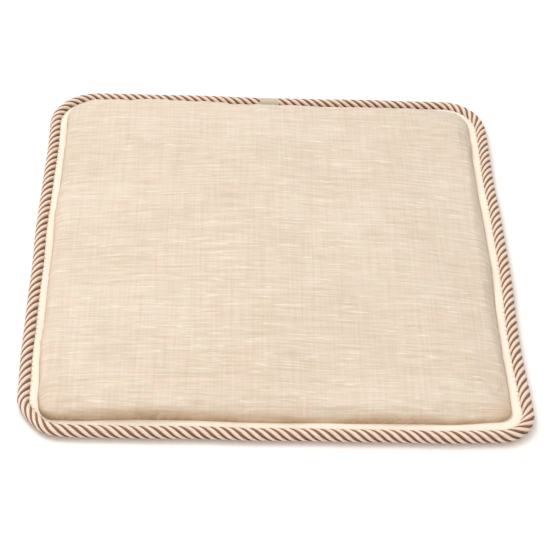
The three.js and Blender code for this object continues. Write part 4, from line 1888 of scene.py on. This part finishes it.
@dataclass
class Zip:
    """The zip: woven tapes, two nylon coils that hook into each other, and the slider with its pull tab."""

    wardrobe: Wardrobe
    pitch: float = 1.25 * MM
    wire: float = 0.29 * MM
    crossing: float = 0.42 * MM
    steps_each_turn: int = 14
    wire_sides: int = 6
    head_power: float = 0.8
    tape_steps: int = 260
    tape_waves: tuple = ((0.05, 0.03 * MM), (0.021, 0.02 * MM))
    tape_thin: float = 0.72
    slider_plate: float = 0.8 * MM
    slider_gap: float = 0.3 * MM
    slider_corner: float = 1.2 * MM
    slider_bevel: float = 0.22 * MM
    slider_taper: float = 0.22
    rail: tuple = (0.94, 0.42 * MM, 0.3 * MM)
    rail_inset: float = 0.5 * MM
    leg: tuple = (0.5 * MM, 0.8 * MM, 0.3 * MM)
    leg_place: float = 3.3 * MM
    bar: tuple = (3.8 * MM, 0.8 * MM, 0.5 * MM)
    bar_height: float = 0.6 * MM
    wedge: tuple = (1.0 * MM, 0.3 * MM, 0.25 * MM)
    wedge_place: float = 3.2 * MM
    frame_length: float = 7.6 * MM
    frame_corner: float = 1.3 * MM
    frame_hole: tuple = (1.0 * MM, 1.5 * MM, 0.7 * MM)
    frame_bar: float = 1.1 * MM
    finger_radius: float = 1.25 * MM
    finger_place: float = 2.9 * MM
    tab_neck: float = 5 * MM
    tab_bevel: float = 0.25 * MM

    def _tape(self, side: str) -> bpy.types.Object:
        """One half of the woven tape, with a thicker inner edge."""
        low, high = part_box(f"zip_tape_{side}")
        steps = self.tape_steps
        x = np.linspace(low.x, high.x, steps)
        middle, half = (low.z + high.z) / 2, (high.z - low.z) / 2
        inner = low.y if side == "rear" else high.y
        outer = high.y if side == "rear" else low.y
        shares = np.concatenate([[0.0, 0.02, 0.06, 0.12], np.linspace(0.2, 0.94, 9), [0.98, 1.0]])
        swell = np.where(shares < 0.1, 1.0, self.tape_thin)
        swell[0], swell[-1] = 0.3, 0.3
        upper = [(share, height) for share, height in zip(shares, swell)]
        section = upper + [(share, -height) for share, height in reversed(upper)]
        wave = Wobble(61 if side == "rear" else 62, self.tape_waves)(x)
        rings = []
        for share, height in section:
            y, z = np.full(steps, inner + (outer - inner) * share), middle + half * height + wave * share
            rings.append(np.column_stack([x, y, z]))
        grid = np.stack(rings, 1)
        count = grid.shape[1]
        body = grid_faces(steps, count, around=True)
        faces = body.tolist() + end_caps(steps, count)
        if side == "front":
            faces = [face[::-1] for face in faces]
        across = np.tile([abs(share * (outer - inner)) for share, _ in section], steps)
        marks = {"along": np.repeat(x, count), "across": across}
        tape = make_piece(f"zip_woven_tape_{side}", grid.reshape(-1, 3), faces, marks=marks)
        self.wardrobe.dress(tape, "zip_tape")
        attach(tape, COVER)
        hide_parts(f"zip_tape_{side}")
        return tape

    def _coil(self, side: str) -> bpy.types.Object:
        """One nylon coil, a flattened helix whose heads cross the zip's middle line."""
        low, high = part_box(f"zip_coil_{side}")
        way = 1 if side == "rear" else -1
        turns = int((high.x - low.x - 2 * self.pitch) / self.pitch)
        turn = np.linspace(0, 2 * math.pi * turns, turns * self.steps_each_turn)
        middle_z, half_z = (low.z + high.z) / 2, (high.z - low.z) / 2 - self.wire
        zip_y = (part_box("zip_coil_front")[0].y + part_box("zip_coil_rear")[1].y) / 2
        reach = (high.y - low.y) + abs((low.y + high.y) / 2 - zip_y) - (high.y - low.y) / 2
        half_y = (reach + self.crossing) / 2 - self.wire / 2
        centre_y = zip_y + way * (half_y - self.crossing + self.wire)
        shift = 0 if side == "rear" else self.pitch / 2
        x = low.x + self.pitch + shift + turn / (2 * math.pi) * self.pitch
        swing = -np.cos(turn)
        y = centre_y + way * half_y * np.sign(swing) * np.abs(swing) ** self.head_power
        z = middle_z + half_z * np.sin(turn)
        path = np.stack([x, y, z], 1)
        forward = unit(np.gradient(path, axis=0))
        outward = unit(np.stack([np.zeros_like(x), (y - centre_y) / half_y, (z - middle_z) / half_z], 1))
        across = unit(np.cross(forward, outward))
        up = np.cross(across, forward)
        points, faces, _ = tube(path, across, up, ellipse(self.wire, self.wire, self.wire_sides))
        coil = make_piece(f"zip_nylon_coil_{side}", points, faces)
        self.wardrobe.dress(coil, "zip_coil")
        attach(coil, COVER)
        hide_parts(f"zip_coil_{side}")
        return coil

    def _slider(self) -> bpy.types.Object:
        """The slider: two shield-shaped plates, rails between them, a wedge and a bridge."""
        low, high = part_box("zip_slider")
        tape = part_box("zip_tape_front")
        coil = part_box("zip_coil_front")
        x, y = (low.x + high.x) / 2, (low.y + high.y) / 2
        half_x, half_y = (high.x - low.x) / 2, (high.y - low.y) / 2
        lower_top = coil[0].z - self.slider_gap
        lower_bottom = lower_top - self.slider_plate
        upper_bottom = tape[1].z + self.slider_gap
        shield = rounded_rectangle(half_x, half_y, self.slider_corner)
        taper = 1 - self.slider_taper * ease(-shield[:, 0], -0.2 * half_x, half_x)
        shield = np.stack([shield[:, 0], shield[:, 1] * taper], 1) + [x, y]
        parts = [
            plate(shield, lower_bottom, lower_top, self.slider_bevel),
            plate(shield, upper_bottom, high.z, self.slider_bevel),
        ]
        for way in (-1, 1):
            rail = rounded_rectangle(half_x * self.rail[0], *self.rail[1:])
            rail = rail + [x, y + way * (half_y - self.rail_inset)]
            rail[:, 1] -= way * 0.2 * half_y * ease(x - rail[:, 0], -0.2 * half_x, half_x)
            parts.append(plate(rail, lower_top - 0.1 * MM, tape[0].z - self.slider_gap, 0.1 * MM))
            leg = rounded_rectangle(*self.leg) + [x + way * self.leg_place, y]
            parts.append(plate(leg, low.z + self.bar_height / 2, lower_bottom + 0.2 * MM, 0.12 * MM))
        bar = rounded_rectangle(*self.bar) + [x, y]
        parts.append(plate(bar, low.z, low.z + self.bar_height, 0.2 * MM))
        wedge = rounded_rectangle(*self.wedge) + [x + self.wedge_place, y]
        parts.append(plate(wedge, lower_top - 0.1 * MM, upper_bottom + 0.1 * MM, 0.05 * MM))
        return self._metal("zip_slider_body", parts, "slider", "zip_slider")

    def _puller(self) -> bpy.types.Object:
        """The pull tab: a frame that goes round the bridge, and a tab with a finger hole."""
        low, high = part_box("zip_puller")
        y, half_y = (low.y + high.y) / 2, (high.y - low.y) / 2
        half_length = self.frame_length / 2
        frame_middle = np.array([high.x - half_length, y])
        frame = rounded_rectangle(half_length, half_y, self.frame_corner) + frame_middle
        side_bar, half_opening, hole_corner = self.frame_hole
        hole = rounded_rectangle(half_length - side_bar, half_opening, hole_corner) + frame_middle
        tab_start, tab_end = high.x - self.frame_length + self.frame_bar, low.x
        tab_middle = np.array([(tab_start + tab_end) / 2, y])
        tab = rounded_rectangle((tab_start - tab_end) / 2, half_y, half_y * 0.9, 12) + tab_middle
        narrow = self.slider_taper * ease(tab[:, 0], tab_end + self.tab_neck, tab_start)
        tab[:, 1] = y + (tab[:, 1] - y) * (1 - narrow)
        finger = ellipse(self.finger_radius, self.finger_radius, len(tab)) + [low.x + self.finger_place, y]
        parts = [
            pierced_plate(frame, hole, low.z, high.z, self.tab_bevel),
            pierced_plate(tab, finger, low.z, high.z, self.tab_bevel),
        ]
        return self._metal("zip_pull_tab", parts, "puller", "zip_puller")

    def _metal(self, name: str, parts: list, body: str, node: str) -> bpy.types.Object:
        """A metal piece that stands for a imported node.

        Args:
            name: The piece's name.
            parts: Its plates.
            body: The body that it rides on.
            node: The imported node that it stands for.

        Returns:
            The piece.
        """
        points, faces, _ = joined(parts)
        piece = make_piece(name, points, faces, smooth=False)
        self.wardrobe.dress(piece, "zip_metal")
        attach(piece, body)
        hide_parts(node)
        return piece

    def build(self) -> list[bpy.types.Object]:
        """Builds the zip.

        Returns:
            Its tapes, coils, slider and pull tab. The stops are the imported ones.
        """
        pieces = [make(side) for make in (self._tape, self._coil) for side in ("front", "rear")]
        return [*pieces, self._slider(), self._puller()]


@dataclass
class Stitching:
    """Rows of thread: overcast stitches that hold the cord to the tape, and topstitching along the zip."""

    edge: EdgeLayout
    wardrobe: Wardrobe
    thread: float = 0.24 * MM
    cord_step: float = 6.2 * MM
    zip_stitch: float = 2.6 * MM
    zip_space: float = 0.5 * MM
    zip_rows: tuple = (6.2 * MM, 9.0 * MM)
    zip_ends: float = 6 * MM
    zip_rise: float = 0.6
    zip_sink: float = 0.4 * MM
    cord_bite: float = 0.9 * MM
    cord_reach: float = 3.0 * MM
    cord_slant: float = 1.1 * MM
    cord_sink: float = 0.6 * MM
    thread_sides: int = 6

    def _stitch(self, start: np.ndarray, end: np.ndarray, up: np.ndarray, rise: float, sink: float) -> tuple:
        """One stitch: a thread that comes up, lies on the cloth and goes down.

        Args:
            start: Where it comes up.
            end: Where it goes down.
            up: Away from the cloth.
            rise: How far it stands on the cloth.
            sink: How far its ends go in.

        Returns:
            Its points, faces and marks.
        """
        share = np.array([0.0, 0.04, 0.14, 0.5, 0.86, 0.96, 1.0])
        level = np.array([-sink, 0.2 * rise, 0.8 * rise, rise, 0.8 * rise, 0.2 * rise, -sink])
        path = start + (end - start) * share[:, None] + up * level[:, None]
        way = unit(np.gradient(path, axis=0))
        side = unit(np.cross(way, np.broadcast_to(up, way.shape)))
        section = ellipse(self.thread, self.thread, self.thread_sides)
        points, faces, turns = tube(path, side, np.cross(side, way), section)
        length = float(np.linalg.norm(end - start))
        return points, faces, np.stack([turns, np.repeat(share * length, self.thread_sides)], 1)

    def _row(self, name: str, stitches: list) -> bpy.types.Object:
        """A piece from many stitches."""
        piece = strands(name, stitches)
        self.wardrobe.dress(piece, "sewing_thread")
        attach(piece, COVER)
        return piece

    def cord_stitches(self) -> bpy.types.Object:
        """The overcast stitches between the cord and the tape."""
        radius = self.edge.cord_diameter / 2
        length = self.edge.route.parallel(radius, 400).length()
        count = int(length / self.cord_step)
        line = self.edge.route.parallel(radius - self.cord_bite, count + 1, opening=self.edge.join_opening)
        inner = line.points - line.out * self.cord_reach
        up = np.array([0, 0, 1.0])
        made = []
        for k in range(count):
            here = np.array([*line.points[k], self.edge.tape_high + self.cord_bite])
            there = np.array([*inner[k], self.edge.tape_high + 0.1 * MM])
            slant = np.array([-line.out[k][1], line.out[k][0], 0]) * self.cord_slant
            made.append(self._stitch(here, there + slant, up, self.thread, self.cord_sink))
        return self._row("cord_overcast_stitches", made)

    def zip_stitches(self) -> bpy.types.Object:
        """The two rows of topstitching on each side of the zip, on the underside."""
        under = Underside(self.edge, self.wardrobe)
        plan = Plan(self.edge.seam())
        reach = under.fold_ends[1] - self.zip_ends
        starts = np.arange(-reach, reach, self.zip_stitch + self.zip_space)
        down = np.array([0, 0, -1.0])
        made = []
        for side in (-1, 1):
            for row in self.zip_rows:
                y = np.full(len(starts), under.zip_y + side * row)
                first = np.stack([starts, y], 1)
                second = first + [self.zip_stitch, 0]
                heights = [under.height(plan, places) for places in (first, second)]
                for k in range(len(starts)):
                    here = np.array([*first[k], heights[0][k]])
                    there = np.array([*second[k], heights[1][k]])
                    made.append(self._stitch(here, there, down, self.thread * self.zip_rise, self.zip_sink))
        return self._row("zip_topstitching", made)

    def build(self) -> list[bpy.types.Object]:
        """Builds the rows.

        Returns:
            The rows of stitches.
        """
        return [self.cord_stitches(), self.zip_stitches()]


# ---- The studio ----


@dataclass
class Studio:
    """A pale floor, soft lights and the camera."""

    wardrobe: Wardrobe
    aim: tuple = (1.2 * MM, -49 * MM, 20 * MM)
    distance: float = 1.583
    elevation: float = 45.76
    heading: float = 3.82
    roll: float = 3.92
    lens: float = 100.9
    sensor: float = 36
    floor_reach: float = 6.0
    sky: tuple = (1.0, 0.995, 0.99, 1)
    sky_strength: float = 0.6
    lights: tuple = (
        ("key", (-1.15, 1.0, 2.6), 1.6, 49, (1.0, 0.985, 0.975)),
        ("overhead", (0.1, 0.1, 3.0), 2.2, 17, (1.0, 0.99, 0.98)),
        ("near", (-0.1, -2.2, 1.1), 1.6, 15, (1.0, 0.91, 0.76)),
    )

    def camera(self) -> None:
        """Makes the camera."""
        data = bpy.data.cameras.new("camera")
        data.lens = self.lens
        data.sensor_width = self.sensor
        camera = bpy.data.objects.new("camera", data)
        up, turn = math.radians(self.elevation), math.radians(self.heading)
        back = Vector((-math.sin(turn) * math.cos(up), -math.cos(turn) * math.cos(up), math.sin(up)))
        camera.location = Vector(self.aim) + back * self.distance
        camera.rotation_mode = "QUATERNION"
        tilt = Quaternion((0, 0, 1), math.radians(self.roll))
        camera.rotation_quaternion = back.to_track_quat("Z", "Y") @ tilt
        bpy.context.scene.collection.objects.link(camera)
        bpy.context.scene.camera = camera

    def _area(self, name: str, place: tuple, size: float, power: float, colour: tuple) -> None:
        """Adds a soft light that faces the cushion.

        Args:
            name: Its name.
            place: Where it stands.
            size: Its width.
            power: Its power, in watts.
            colour: Its colour.
        """
        data = bpy.data.lights.new(name, "AREA")
        data.shape, data.size, data.energy, data.color = "SQUARE", size, power, colour
        light = bpy.data.objects.new(name, data)
        light.location = place
        light.rotation_mode = "QUATERNION"
        light.rotation_quaternion = Vector(place).to_track_quat("Z", "Y")
        bpy.context.scene.collection.objects.link(light)

    def build(self) -> None:
        """Builds the floor, the world and the lights."""
        square = np.array([(-1, -1, 0), (1, -1, 0), (1, 1, 0), (-1, 1, 0)])
        corners = square * self.floor_reach - [0, 0, 0.1 * MM]
        floor = make_piece("floor", corners, [[0, 1, 2, 3]], smooth=False)
        floor.data.materials.append(FloorFinish().material())
        world = bpy.data.worlds.new("studio")
        world.use_nodes = True
        background = world.node_tree.nodes["Background"]
        background.inputs["Color"].default_value = self.sky
        background.inputs["Strength"].default_value = self.sky_strength
        bpy.context.scene.world = world
        for light in self.lights:
            self._area(*light)
        bpy.context.scene.view_settings.view_transform = "Standard"


# ---- Putting it together ----


def dress_packed_nodes(wardrobe: Wardrobe) -> None:
    """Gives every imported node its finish, from the slot that the record gives it."""
    slots = {part["node"]: part["material_slot"] for part in frame["record"]["subparts"]}
    for name, node in frame["nodes"].items():
        wardrobe.dress(node, slots[name])
        log.info("%s dressed in %s", name, slots[name])


def main() -> None:
    """Builds the cushion."""
    logging.basicConfig(level=logging.INFO, format="%(name)s: %(message)s")
    wardrobe = Wardrobe()
    studio = Studio(wardrobe)
    studio.camera()
    studio.build()
    dress_packed_nodes(wardrobe)
    edge = EdgeLayout()
    top = LinenTop(edge, wardrobe)
    parts = (
        top,
        EdgeTape(edge, wardrobe),
        TwistedCord(edge, wardrobe),
        CordJoin(edge, wardrobe),
        Underside(edge, wardrobe),
        InnerPad(top, wardrobe),
        Zip(wardrobe),
        Stitching(edge, wardrobe),
    )
    for part in parts:
        made = part.build()
        for piece in made if isinstance(made, list) else [made]:
            log.info("%s has %d faces", piece.name, len(piece.data.polygons))


if __name__ == "__main__":
    main()
